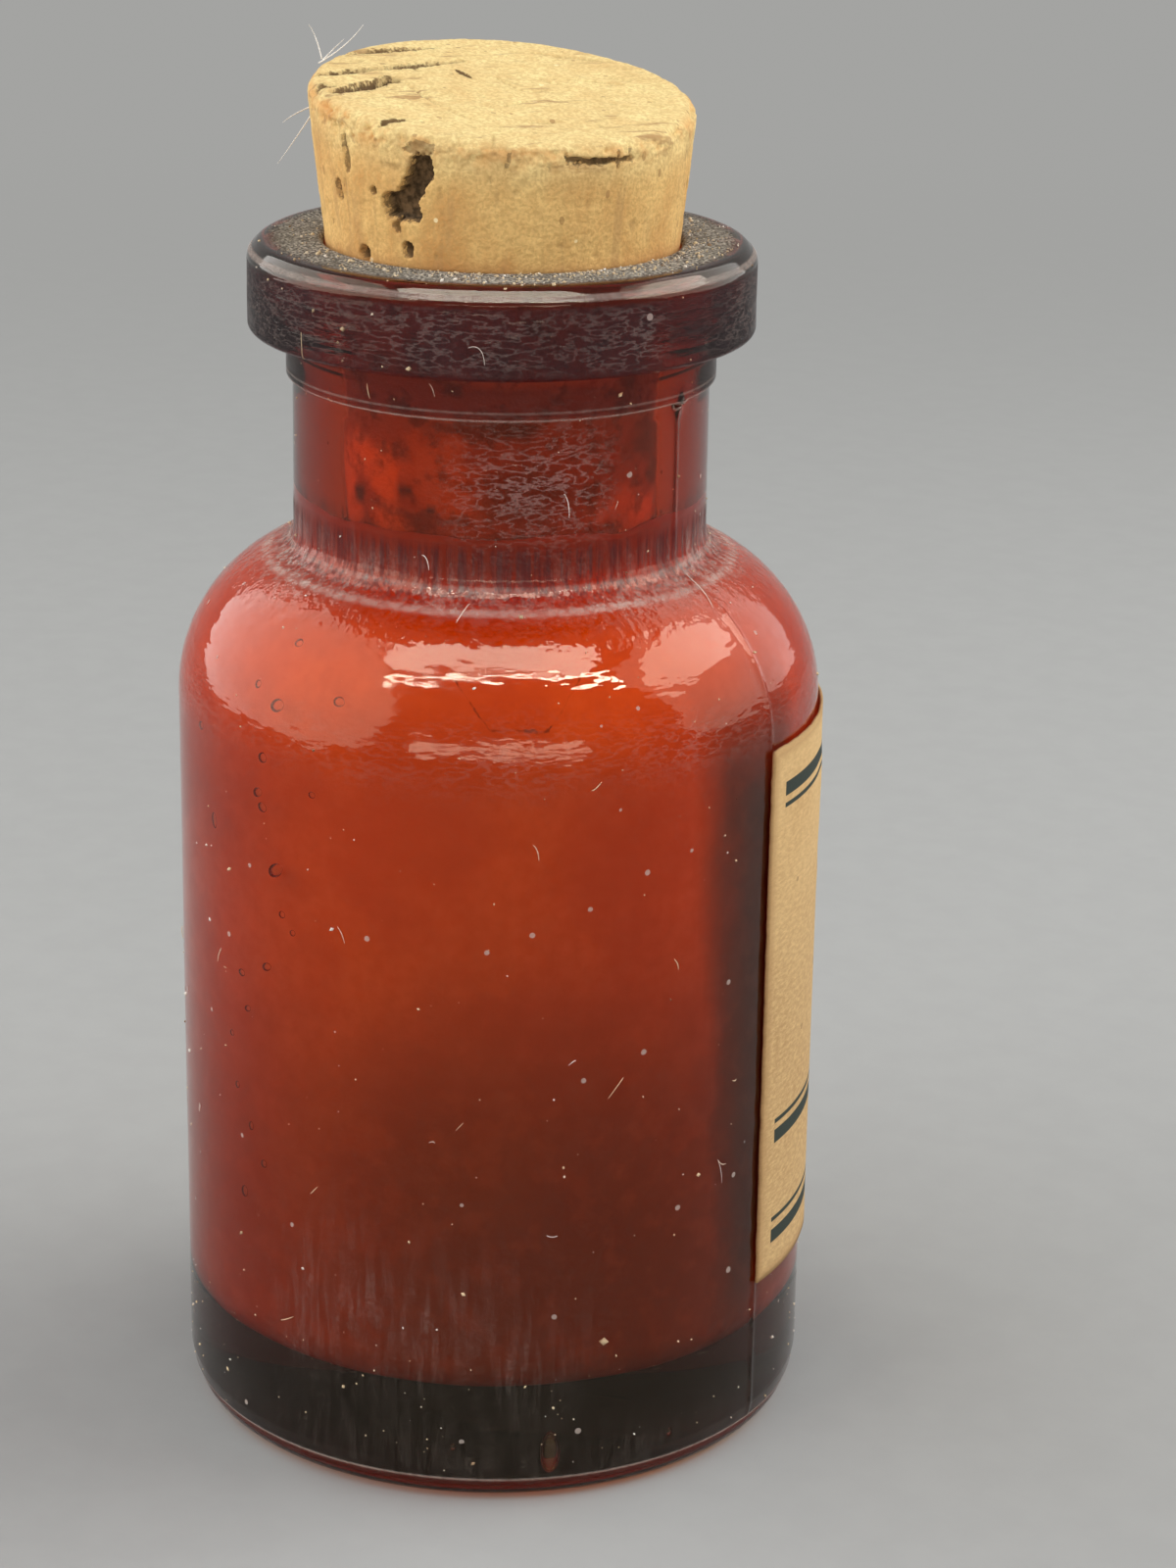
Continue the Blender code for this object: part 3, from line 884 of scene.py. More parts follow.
def make_glass():
    """The outside and the inside are turned about Z, lifted by their waves, and joined at the lip."""
    s = bpy.context.scene.bottle_glass
    bearings = ring_bearings()
    outer, inner = outside_outline(s), inside_outline(s)
    shell = turned_grid(outer, bearings)
    bore = turned_grid(inner, bearings)
    shell = turned_grid(outer, bearings, outside_lift(s, shell))
    bore = turned_grid(inner, bearings, inside_lift(s, bore))
    shape = closed_grid(np.concatenate((shell[1:], bore[1:-1])), (0, 0, outer[0][1]), (0, 0, inner[-1][1]))
    values = {"wrinkled": wrinkled_amount(shell[1:])}
    piece = add_mesh("moulded_glass", shape, glass_material(s), "bottle", values=values)
    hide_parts("glass_bottle")


# Air bubbles in the wall: bearing in degrees, height, half width, half height in mm, lean in degrees
BUBBLES = (
    (81.8, 32.6, 0.42, 0.28, 35), (81.2, 41.2, 0.35, 0.26, 20), (72.2, 14.3, 0.20, 0.26, 0),
    (58.4, 38.4, 0.22, 0.18, 10), (78.9, 38.3, 0.22, 0.22, 0), (77.5, 36.4, 0.26, 0.20, 30),
    (78.7, 35.7, 0.24, 0.20, -20), (79.4, 27.3, 0.26, 0.18, 25), (72.3, 26.4, 0.20, 0.16, 0),
    (94.7, 42.1, 0.26, 0.20, 0), (80.7, 44.2, 0.20, 0.18, 0), (83.5, 30.4, 0.16, 0.16, 0),
    (74.0, 24.6, 0.20, 0.14, 20), (86.0, 29.6, 0.14, 0.14, 0), (70.5, 20.1, 0.14, 0.16, 0),
    (74.6, 18.2, 0.14, 0.20, 0), (78.0, 16.4, 0.16, 0.18, 0), (68.9, 22.8, 0.14, 0.14, 0),
    (63.5, 33.8, 0.18, 0.34, 10), (90.6, 37.1, 0.16, 0.14, 0), (75.1, 41.9, 0.16, 0.16, 0),
    (135.6, 2.7, 0.42, 0.95, 0), (159.0, 2.6, 0.14, 0.20, 0), (118.0, 3.1, 0.12, 0.16, 0),
    (196.0, 12.0, 0.30, 0.22, 15), (20.0, 30.0, 0.30, 0.40, 0), (24.0, 22.0, 0.20, 0.24, 0),
    (350.0, 41.0, 0.30, 0.24, 0), (300.0, 44.6, 0.26, 0.20, 0), (233.0, 43.0, 0.30, 0.22, 10),
)


def make_bubbles():
    """Bubbles are balls drawn out sideways and upwards and set just under the surface of the glass."""
    s = bpy.context.scene.bottle_glass
    bearing, height, wide, tall, lean = np.array(BUBBLES).T
    bearing, lean = np.radians(bearing), np.radians(lean)[:, None]
    places, normal = on_glass(s, bearing, height * MM)
    side = np.stack((-np.sin(bearing), np.cos(bearing), 0 * bearing), axis=1)
    width = side * np.cos(lean) + np.cross(normal, side) * np.sin(lean)
    depth = np.minimum(wide, tall) * 0.8
    axes = (width * wide[:, None] * 1.25, np.cross(normal, width) * tall[:, None] * 1.25, normal * depth[:, None])
    sunk = np.where(height < 4, 0.25, 0.75) + depth
    shape = repeated(unit_ball(9, 16), np.stack(axes, axis=2) * MM, places - normal * sunk[:, None] * MM)
    piece = add_mesh("air_bubbles", shape, bubble_material(s), "bottle")


def painted_shade_amount(grid):
    """Painted shade on the powder: darker towards its foot and below the shoulder, round bearings 137 and 28 degrees,
    in a strip beside the label's edge where the label's shadow falls, and where it clings to the glass above its
    level.
    """
    bearing, height = bearing_of(grid), grid[..., 2]
    low, middle, high = (smooth(-height, -top * MM, -foot * MM) for top, foot in ((30, 10), (37, 18), (41, 35)))
    painted_shade = 0.52 * middle * smooth(facing(bearing, 137), 0.2, 1) + 0.22 * low
    painted_shade += 0.20 * smooth(-height, -42.5 * MM, -37 * MM) + 0.30 * smooth(facing(bearing, 28), 0.3, 0.95) * high
    strip = smooth(facing(bearing, 178) + 0.01 * lattice_noise(grid, 3 * MM, 59), 0.95, 0.996)
    painted_shade = np.maximum(painted_shade, 0.92 * strip * smooth(-height, -43 * MM, -37 * MM))
    return np.maximum(painted_shade, 0.62 * smooth(height, 45.6 * MM, 47.6 * MM))


def make_powder():
    """The hollow's outline moved out by the contact, up to the level, then a dish: level - depth*(1 - (r/edge)^2)."""
    glass = bpy.context.scene.bottle_glass
    s = bpy.context.scene.bottle_powder
    inner = inside_outline(glass)[::-1]
    wall = inner[inner[:, 1] < s.coat_top - 0.05 * MM]
    wall = np.vstack((wall, (np.interp(s.coat_top, inner[:, 1], inner[:, 0]), s.coat_top)))
    coated = wall[:, 1] > POWDER_LEVEL - 0.2 * MM
    edge = wall[coated][0][0] - s.coat - 0.15 * MM
    radius = np.linspace(edge, 0, DISH_STEPS)
    dish = np.stack((radius, POWDER_LEVEL - s.dish * (1 - (radius / edge) ** 2)), axis=1)
    bearings = ring_bearings()
    skin = turned_grid(wall, bearings)
    lift = s.contact - inside_lift(glass, skin)
    thick = s.coat * (1 - 0.8 * smooth(wall[:, 1:], POWDER_LEVEL, s.coat_top))
    thick = thick * (1 + 0.5 * lattice_noise(skin, 2 * MM, 57))
    coat = turned_grid(wall, bearings, lift - thick)[coated][::-1]
    skin = turned_grid(wall, bearings, lift)
    ragged = 0.5 + 0.5 * layered_noise(polar(8 * MM, bearings, 0), 2 * MM, 53)
    for part in (skin, coat):
        part[..., 2] -= smooth(part[..., 2], 47.6 * MM, s.coat_top) * 0.5 * MM * ragged
    top = turned_grid(dish, bearings)
    rolling = smooth(edge - radius, 0, 1 * MM)[:, None]
    top[..., 2] += layered_noise(top, 3 * MM, 51) * 0.25 * MM * rolling
    grid = np.concatenate((skin[1:], coat, top[:-1]))
    shape = closed_grid(grid, (0, 0, wall[0][1]), (0, 0, dish[-1][1]))
    # The powder's painted shade goes in as an attribute
    piece = add_mesh("caked_powder", shape, powder_material(s), "bottle", values={"painted_shade": painted_shade_amount(grid)})
    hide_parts("powder_fill")


# Bearings for the cork's grid: from, to, and how many, closest where its side is most pitted
CORK_STEPS = ((-190, 60, 220), (60, 110, 115), (110, 170, 95))
# Pits in the cork's side: bearing in degrees, height over the lip, half width, half height and depth in mm, lean
PITS = (
    (100.0, 4.62, 0.60, 0.95, 0.80, -16), (93.2, 2.85, 1.05, 0.70, 0.85, -8), (97.0, 3.70, 0.72, 0.55, 0.80, -10),
    (100.2, 5.85, 0.72, 0.36, 0.14, 0), (91.0, 1.85, 0.20, 0.30, 0.25, 10), (94.8, 0.80, 0.32, 0.46, 0.36, -10),
    (77.0, 0.30, 0.42, 0.36, 0.60, -20), (65.5, 3.10, 0.30, 0.52, 0.50, 18), (71.3, 5.05, 0.22, 0.80, 0.22, 6),
    (82.9, 3.46, 0.20, 0.20, 0.28, 30), (154.5, 5.20, 1.25, 0.17, 0.34, 0), (147.5, 5.36, 0.60, 0.16, 0.30, -8),
    (144.2, 5.45, 0.13, 0.36, 0.28, 8), (160.6, 5.25, 0.08, 0.44, 0.30, 0), (163.6, 5.20, 0.36, 0.15, 0.28, 0),
    (165.0, 5.70, 0.09, 0.50, 0.16, 0), (126.5, 5.5, 0.10, 0.50, 0.12, -14), (20.0, 3.6, 0.45, 0.85, 0.45, 20),
    (-35.0, 4.4, 0.50, 1.3, 0.6, -10), (-60.0, 2.2, 0.3, 0.4, 0.35, 0), (-100.0, 5.0, 0.9, 0.22, 0.35, 5),
    (-122.0, 2.8, 0.35, 0.9, 0.5, 15), (205.0, 3.0, 0.28, 0.5, 0.35, 0), (-5.0, 1.8, 0.3, 0.3, 0.3, 0),
)
# Cracks in the cork's top: both ends in mm, width and depth in mm
CRACKS = (
    ((9.18, 1.32), (6.71, -3.69), 0.30, 0.40), ((7.50, 5.01), (6.32, 2.10), 0.34, 0.60),
    ((6.75, 3.2), (4.44, -2.67), 0.30, 0.55), ((5.18, 6.96), (4.62, 2.59), 0.46, 1.00),
    ((4.75, 3.4), (4.62, 2.59), 0.55, 1.10), ((6.34, 6.97), (5.94, 5.77), 0.30, 0.50),
    ((0.70, 9.30), (0.08, 7.84), 0.22, 0.45), ((3.74, -1.04), (2.21, -0.33), 0.13, 0.18),
    ((3.89, 2.90), (0.36, 4.77), 0.13, 0.15), ((0.36, 4.77), (-2.51, 5.37), 0.12, 0.13),
    ((-4.2, 3.5), (-4.9, 2.5), 0.34, 0.15), ((-1.68, 2.33), (-1.89, 0.80), 0.14, 0.18),
    ((0.36, -3.10), (-1.26, -2.90), 0.13, 0.15), ((-2.08, -6.04), (-3.50, -6.13), 0.12, 0.15),
    ((-4.1, 6.7), (-5.0, 8.0), 0.14, 0.12), ((-1.0, -4.0), (-4.6, -6.0), 0.13, 0.18),
    ((3.0, -6.5), (-0.5, -8.4), 0.18, 0.30), ((1.5, -1.5), (-0.8, -0.4), 0.12, 0.14),
)
# How many of them, counted from the first, also get painted shade inside
DRAWN_CRACKS = 8
# Radius of the cork's side, where its pits are measured, and of its foot in the neck
PITTED_RADIUS, SEATED_RADIUS = 9.2 * MM, 8 * MM
# Bearing in degrees where the cork's rim is frayed, and how far it spreads to each side
FRAYED, FRAYED_SPREAD = 72, 20
# The cork seen through the neck, dry and then soaked: bearing in degrees, height, half width and half height in mm,
# and how strong
DRY_PATCHES = (
    (74, 52.2, 1.9, 1.2, 1.0), (65, 51.2, 1.3, 1.8, 0.9), (84, 51.3, 1.0, 1.1, 0.9), (66, 49.4, 1.3, 0.9, 0.7),
    (86, 49.4, 1.2, 0.8, 0.6), (103, 52.0, 2.2, 2.2, 0.45), (112, 50.6, 1.5, 1.0, 0.4), (160, 49.9, 0.9, 0.6, 0.45),
    (170, 50.2, 1.2, 0.9, 0.6), (178, 49.6, 1.6, 1.0, 0.85), (172, 48.7, 1.6, 0.7, 0.6), (145, 56.6, 4.5, 0.4, 0.6),
    (30, 51, 2, 2, 1.0), (250, 51, 1.6, 1.5, 1.0), (310, 50.5, 1.6, 2, 1.0), (215, 50, 1.2, 1.5, 1.0),
)
SOAKED_PATCHES = (
    (72.9, 50.4, 0.55, 0.62, 1.0), (92.8, 50.9, 0.5, 0.45, 0.9), (95.5, 50.3, 0.3, 0.35, 0.8),
    (101.7, 50.0, 0.28, 0.24, 0.9), (84, 52.9, 0.25, 0.3, 0.6), (-173, 51.3, 1.3, 0.8, 1.0),
    (-176, 53.2, 2.0, 1.4, 0.8), (126, 54.4, 1.8, 0.6, 0.8), (133, 50.8, 2.6, 1.5, 0.5), (340, 52, 1, 1.5, 1.0),
    (20, 50, 1.2, 1.5, 1.0),
)


def patches(grid, table, wobble):
    """Soft ovals: hypot(across/half width, up/half height) makes each fade between 0.5 and 1.2, and the most counts.

    wobble is added to that reach, and makes the ovals uneven.
    """
    found = np.zeros(grid.shape[:2])
    bearing = bearing_of(grid)
    for turn, up, wide, tall, share in table:
        across, along = turned_from(bearing, turn) * SEATED_RADIUS, grid[..., 2] - up * MM
        reach = np.hypot(across / (wide * MM), along / (tall * MM)) + wobble
        found = np.maximum(found, share * (1 - smooth(reach, 0.5, 1.2)))
    return found


def cork_pits(arc, height, wobble):
    """How deep each point of the cork's side is sunk by its pits, and how far it is inside a pit's edge, in mm.

    A pit is a rounded box: its reach is (|x/half width|^3 + |y/half height|^3)^(1/3), and wobble tears its edge.
    """
    sunk, inside = np.zeros_like(height), np.full_like(height, -1.0)
    for bearing, up, wide, tall, depth, lean in PITS:
        across, along = turned_from(arc, bearing) * PITTED_RADIUS, height - up * MM
        turn = math.radians(lean)
        x = across * math.cos(turn) + along * math.sin(turn)
        y = along * math.cos(turn) - across * math.sin(turn)
        reach = ((np.abs(x) / (wide * MM)) ** 3 + (np.abs(y) / (tall * MM)) ** 3) ** (1 / 3) + wobble
        sunk = np.maximum(sunk, depth * MM * (1 - smooth(reach, 0.84, 1.06)))
        inside = np.maximum(inside, (1 - reach) * min(wide, tall))
    return sunk, inside


def cork_cracks(grid, wobble):
    """How deep each point of the cork's top is sunk: a groove along each line, tapered to its ends."""
    sunk = np.zeros(grid.shape[:2])
    for start, end, wide, depth in CRACKS:
        start, run = np.array(start) * MM, (np.array(end) - start) * MM
        part = np.clip(((grid[..., :2] - start) @ run) / (run @ run), 0, 1)
        away = np.linalg.norm(grid[..., :2] - start - part[..., None] * run, axis=-1)
        width = wide * MM * (0.35 + 0.65 * np.sin(math.pi * np.clip(part, 0.04, 0.96)) + 0.4 * wobble)
        sunk = np.maximum(sunk, depth * MM * (1 - smooth(away / width, 0.35, 1.15)))
    return sunk


def make_cork():
    """A tapered cork cut at a slant: a point at height h over the lip is raised by h/stand*tan(slant)*r*cos(b - s)."""
    s = bpy.context.scene.bottle_cork
    foot = CORK_FOOT - GLASS_TOP
    lower, upper = s.mouth_radius - s.taper * s.seat - 0.04 * MM, s.mouth_radius + s.taper * s.stand
    base = rounded([(0, foot, 0), (lower, foot, 0.4 * MM), (lower, -s.seat, 0), (s.mouth_radius, 0, 0)], 0.45 * MM)
    stem = rounded([(s.mouth_radius, 0, 0), (upper, s.stand, s.edge), (0, s.stand, 0)], 0.16 * MM)
    rows = np.argmax(stem[:, 1] > s.stand - s.edge)
    outline = np.concatenate((base, spread(stem[:rows], 0.085 * MM)[1:], stem[rows:]))
    bearings = np.radians(np.concatenate([np.linspace(*run, endpoint=False) for run in CORK_STEPS]))
    normals = outline_normals(outline)[1:-1]
    outline = outline[1:-1]
    grid = turned_grid(outline, bearings)
    height = grid[..., 2]
    on_top = smooth(normals[:, 1:], 0.5, 0.95)
    bare = smooth(height, -0.1 * MM, 0.5 * MM)
    torn = layered_noise(grid, 0.55 * MM, 61)
    grit = layered_noise(grid, 0.26 * MM, 63, 2)
    frayed = hump(turned_from(bearings, FRAYED), 0, math.radians(FRAYED_SPREAD))
    rim = np.exp(-((normals[:, 1:] - 0.5) ** 2) / 0.14) * bare
    rim = np.maximum(rim, 0.8 * smooth(height, s.stand - 2.0 * MM, s.stand - 0.5 * MM) * (1 - on_top))
    rim = rim * (0.75 + 0.6 * frayed)
    tilt = np.clip(height, 0, None) / s.stand * math.tan(s.slant) * np.cos(bearings - s.slant_bearing)
    tilt = tilt * np.hypot(grid[..., 0], grid[..., 1])
    pits, inside = cork_pits(bearings + 0 * height, height + tilt, 0.30 * torn + 0.22 * grit)
    pits, inside = pits * (1 - on_top), inside - 2 * on_top
    cracks = cork_cracks(grid, torn + 0.5 * grit) * on_top
    pores = 0.06 * MM * smooth(lattice_noise(grid * (1, 1, 0.6), 0.45 * MM, 71), 0.6, 0.85) * bare
    rough = layered_noise(grid, 2.6 * MM, 81) * 0.06 * MM + torn * 0.03 * MM + grit * 0.02 * MM
    crumbs = (np.maximum(layered_noise(grid, 0.7 * MM, 91), 0) * 0.60 + np.maximum(grit, 0) * 0.30) * MM * rim
    grid = turned_grid(outline, bearings, (rough - pores) * bare - pits - cracks - crumbs)
    grid[..., :2] *= (1 + s.taper * tilt / (s.mouth_radius + s.taper * height))[..., None]
    grid[..., 2] += tilt + GLASS_TOP
    wobble = 0.5 * layered_noise(grid, 0.8 * MM, 97)
    # Painted shade in the cracks and pores, kept as sunk; deep makes the pits' painted shade darker
    dark = 0.6 * smooth(cracks, 0.04 * MM, 0.34 * MM) + pores / (0.30 * MM)
    deep = 0.5 + 0.5 * smooth(pits, 0.15 * MM, 0.4 * MM)
    side = (1 - on_top) * (0.3 + 0.7 * smooth(s.stand - height, 0.6 * MM, 3.2 * MM))
    values = {
        "sunk": np.clip(dark, 0, 1), "deep": deep, "inside": inside, "rim": np.clip(rim, 0, 1), "side": side,
        "dry": patches(grid, DRY_PATCHES, wobble), "soaked": patches(grid, SOAKED_PATCHES, wobble),
    }
    shape = closed_grid(grid, (0, 0, CORK_FOOT), (0, 0, GLASS_TOP + s.stand))
    piece = add_mesh("pitted_cork", shape, cork_material(s), "cork", values=values)
    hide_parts("cork_stopper")


def make_label():
    """A sheet wrapped round the body: the point at s along and t up lies at bearing s/radius, with torn borders."""
    s = bpy.context.scene.bottle_label
    rows, columns = 90, 240
    across, up = np.meshgrid(np.linspace(0, 1, columns), np.linspace(0, 1, rows))
    flat = np.stack((across * s.width, up * (LABEL_HIGH - LABEL_LOW), 0 * up), axis=-1)
    tear = np.abs(layered_noise(flat, 0.9 * MM, 101)) * 0.10 * MM
    inward = np.where(across < 0.5, 1.0, -1.0) * smooth(np.abs(across - 0.5), 0.47, 0.5)
    lift = 0.08 * MM * smooth(layered_noise(flat, 5 * MM, 111), 0.1, 0.8)
    bearing = (flat[..., 0] - s.width / 2 + inward * (tear + 0.05 * MM)) / s.radius - math.pi / 2
    height = LABEL_LOW + flat[..., 1] - smooth(up, 0.97, 1) * tear
    faces = [
        polar(radius, bearing, height).reshape(-1, 3)
        for radius in (s.radius + lift, s.radius - s.thickness + 0.4 * lift)
    ]
    size = rows * columns
    front = grid_quads(rows, columns, False)
    index = np.arange(size).reshape(rows, columns)
    around = np.concatenate((index[0, :-1], index[:-1, -1], index[-1, :0:-1], index[:0:-1, 0]))
    ahead = np.roll(around, -1)
    border = np.stack((around, around + size, ahead + size, ahead), axis=1)
    uv = np.stack((across, up), axis=-1).reshape(-1, 2)
    shape = (np.concatenate(faces), np.concatenate((front, front[:, ::-1] + size, border)), np.empty((0, 3), int))
    piece = add_mesh("label", shape, label_material(s), "bottle", uv=np.concatenate((uv, uv)))
    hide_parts("paper_label")


def dust_amount(points):
    """How thick the dust lies: on the lip, in the neck's fillet, in smears low on the body, a little all over."""
    height, bearing = points[..., 2], bearing_of(points)
    radius = np.hypot(points[..., 0], points[..., 1])
    slow = 0.5 + 0.5 * layered_noise(points, 6 * MM, 131)
    amount = 0.004 * slow
    amount += smooth(height, 61.55 * MM, 61.8 * MM) * smooth(-radius, -12.0 * MM, -11.1 * MM)
    ends = 0.40 + 0.60 * smooth(np.abs(np.sin(bearing - math.radians(125))), 0.4, 0.9)
    amount += 0.62 * ends * hump(height, 46.2 * MM, 0.55 * MM) * smooth(slow, 0.1, 0.7)
    amount += 0.34 * ends * hump(height, 47.0 * MM, 1.3 * MM)
    amount += 0.17 * hump(height, 9.5 * MM, 4.5 * MM) * slow * hump(facing(bearing, 112), 1, 0.12)
    amount += 0.04 * smooth(-height, -6 * MM, -2 * MM)
    return amount


def wrinkled_amount(points):
    """How wrinkled the glass is, which its bumps and a painted sheen on its ridges show: on the lip's side, in a patch
    on the neck, on the shoulder.
    """
    height, bearing = points[..., 2], bearing_of(points)
    slow = 0.5 + 0.5 * layered_noise(points, 5 * MM, 137)
    amount = 0.11 * smooth(height, 57.6 * MM, 58.2 * MM) * (1 - smooth(height, 60.6 * MM, 61.2 * MM)) * slow
    amount *= 1 - 0.8 * hump(facing(bearing, 169), 1, 0.008)
    patch = hump(facing(bearing, 133), 1, 0.065) * hump(height, 52.0 * MM, 2.6 * MM)
    amount += 0.22 * patch * (0.4 + 0.6 * slow) + 0.08 * hump(height, 40.0 * MM, 1.6 * MM) * slow
    return amount


def make_dust():
    """A skin that follows the glass from the heel to the bore, held off it by the film's height."""
    glass, s = bpy.context.scene.bottle_glass, bpy.context.scene.bottle_dust
    bearings = ring_bearings()
    outer, inner = outside_outline(glass), inside_outline(glass)
    outer = outer[np.argmax((outer[:, 1] > 0.9 * MM) & (outer[:, 0] > SIDE_RADIUS)):]
    lip = inner[:np.argmax(inner[:, 1] < GLASS_TOP - 0.40 * MM)]
    shell = turned_grid(outer, bearings)
    shell = turned_grid(outer, bearings, outside_lift(glass, shell) + s.film)
    grid = np.concatenate((shell, turned_grid(lip, bearings, s.film)[1:]))
    shape = (grid.reshape(-1, 3), grid_quads(*grid.shape[:2], True), np.empty((0, 3), int))
    values = {"dust": dust_amount(grid), "wrinkled": wrinkled_amount(grid)}
    add_mesh("dust_skin", shape, dust_material(s), "bottle", values=values)


def on_glass(s, bearing, height):
    """Points on the outside of the glass at bearings and heights, and the normals there."""
    outline = outside_outline(s)
    side = outline[np.argmax((outline[:, 1] > 1.25 * MM) & (outline[:, 0] > SIDE_RADIUS)):]
    side = side[:np.argmax(side[:, 1] > 61.9 * MM)]
    normals = outline_normals(side)
    radius = np.interp(height, side[:, 1], side[:, 0])
    out, rise = (np.interp(height, side[:, 1], normals[:, k]) for k in (0, 1))
    return polar(radius, bearing, height), polar(out, bearing, rise)


def make_specks():
    """Specks and grit: small uneven octahedra, each with its own size, turn and tone."""
    glass, s = bpy.context.scene.bottle_glass, bpy.context.scene.bottle_dust
    draw = np.random.default_rng(s.seed)
    bearing = draw.uniform(0, math.tau, s.specks)
    height = np.where(draw.random(s.specks) < 0.3, draw.uniform(1.5, 8, s.specks), draw.uniform(6, 61.5, s.specks))
    size = draw.lognormal(math.log(0.05), 0.5, s.specks).clip(0.02, 0.16) * MM
    tone = draw.beta(1.6, 1.4, s.specks)
    placed = np.array(SPECKS).T
    bearing, height = np.concatenate((bearing, np.radians(placed[0]))), np.concatenate((height, placed[1]))
    places, _ = on_glass(glass, bearing, height * MM)
    size, tone = np.concatenate((size, placed[2] * MM)), np.concatenate((tone, placed[3]))
    turned = draw.normal(math.radians(150), 1.1, s.grains)
    radius = draw.triangular(9.2, 9.4, 12.2, s.grains) * MM
    fall = 1 - np.sqrt(1 - (np.clip(radius - 11.6 * MM, 0, None) / (1.1 * MM)) ** 2)
    places = np.concatenate((places, polar(radius, turned, GLASS_TOP + (0.05 - 1.1 * fall) * MM)))
    size = np.concatenate((size, draw.lognormal(math.log(0.045), 0.5, s.grains).clip(0.02, 0.13) * MM))
    basis = np.linalg.qr(draw.normal(size=(len(size), 3, 3)))[0]
    basis[:, :, 0] *= np.sign(np.linalg.det(basis))[:, None]
    matrices = basis * (draw.uniform(0.5, 1.3, (len(size), 1, 3)) * size[:, None, None])
    grain = unit_ball(1, 4)
    tone = np.repeat(np.concatenate((tone, draw.beta(1.8, 1.6, s.grains))), len(grain[0]))
    add_mesh("dust_specks", repeated(grain, matrices, places), speck_material(), "bottle", values={"tone": tone})


# Larger specks: bearing in degrees, height and size in mm, and tone from dark through tan to white
SPECKS = (
    (80.0, 60.1, 0.11, 0.2), (88.7, 59.5, 0.14, 0.2), (87.3, 58.8, 0.10, 0.15), (104.9, 58.0, 0.13, 0.25),
    (144.8, 8.8, 0.22, 0.2), (100.0, 57.3, 0.09, 0.5), (96.5, 57.2, 0.08, 0.6), (62.0, 60.9, 0.09, 0.6),
    (157, 56.2, 0.2, 0.4),
)
# Fibres on the glass: bearing in degrees and height in mm of both ends, and how far the middle bows sideways
FIBRES = (
    (147.5, 23.2, 144.8, 22.2, 0.15), (138.8, 24.4, 137.6, 24.2, 0.12), (170.3, 16.9, 168.2, 17.3, -0.1),
    (168.2, 17.3, 169.4, 15.9, 0.05), (119.6, 21.2, 118.4, 20.8, 0.08), (76.0, 58.9, 76.4, 57.5, 0.1),
    (106.5, 56.9, 108.0, 56.3, 0.1), (118.0, 59.2, 121.5, 58.4, 0.35), (142.0, 51.5, 143.5, 50.3, 0.15),
    (-178.0, 46.4, 178.0, 45.2, 0.1), (88.5, 56.5, 89.4, 55.8, 0.0), (97.0, 30.8, 98.4, 30.0, 0.1),
    (131.0, 35.8, 132.0, 35.0, 0.1), (157.0, 29.0, 157.9, 28.4, 0.05), (104.0, 48.3, 106.0, 47.6, 0.2),
)

# Points along a fibre, and round it
FIBRE_STEPS, FIBRE_SIDES = 14, 4


def make_fibres():
    """Fibres: hair-thin tubes on the glass, and frayed hairs that stand off the cork's rim."""
    glass, s = bpy.context.scene.bottle_glass, bpy.context.scene.bottle_dust
    draw = np.random.default_rng(s.seed + 1)
    extra = np.stack((
        draw.uniform(0, 360, s.fibres), draw.uniform(8, 55, s.fibres), draw.normal(0, 1.2, s.fibres),
        draw.normal(0, 0.4, s.fibres), draw.normal(0, 0.12, s.fibres),
    ), axis=1)
    extra[:, 2:4] += extra[:, :2]
    bearing, height, bearing_end, height_end, bow = np.concatenate((np.array(FIBRES), extra)).T[:, :, None]
    turn = (bearing_end - bearing + 180) % 360 - 180
    part = np.linspace(0, 1, FIBRE_STEPS)
    arch = 4 * part * (1 - part)
    bearing = np.radians(bearing + turn * part + bow * 2 * arch)
    paths, outward = on_glass(glass, bearing, (height + (height_end - height) * part + bow * arch) * MM)
    paths = paths + outward * 0.05 * MM * (0.6 + arch)[:, None]
    radii = draw.uniform(0.014, 0.028, (len(paths), 1)) * MM * (0.55 + 0.45 * arch)
    count = FIBRE_STEPS * FIBRE_SIDES + 2
    tone = np.repeat(draw.uniform(0.55, 1.0, len(paths)), count)
    add_mesh("lint", tubes(paths, outward, radii, FIBRE_SIDES), speck_material(), "bottle", values={"tone": tone})
    roots = np.array(((8.9, 3.1, 70.3), (8.6, 3.7, 70.2), (8.7, 3.3, 70.25), (9.2, 3.4, 68.0), (9.25, 3.2, 67.8))) * MM
    tips = np.array(((9.3, 3.6, 72.0), (7.6, 1.4, 71.9), (7.9, 2.6, 71.3), (10.2, 4.6, 67.2), (10.3, 4.9, 65.2))) * MM
    hairs = roots[:, None] + (tips - roots)[:, None] * part[:, None]
    hairs = hairs + arch[:, None] * draw.normal(0, 0.16, (len(roots), 1, 3)) * MM
    sideways = np.broadcast_to(np.array((0.0, 0.0, 1.0)) + 0.3 * draw.normal(size=(len(roots), 1, 3)), hairs.shape)
    thin = np.full(hairs.shape[:2], 0.036 * MM) * (1.1 - 0.8 * part)
    tone = np.full(len(roots) * count, 0.95)
    hairs = tubes(hairs, sideways, thin, FIBRE_SIDES)
    add_mesh("frayed_hairs", hairs, speck_material(), "cork", values={"tone": tone})


# The studio

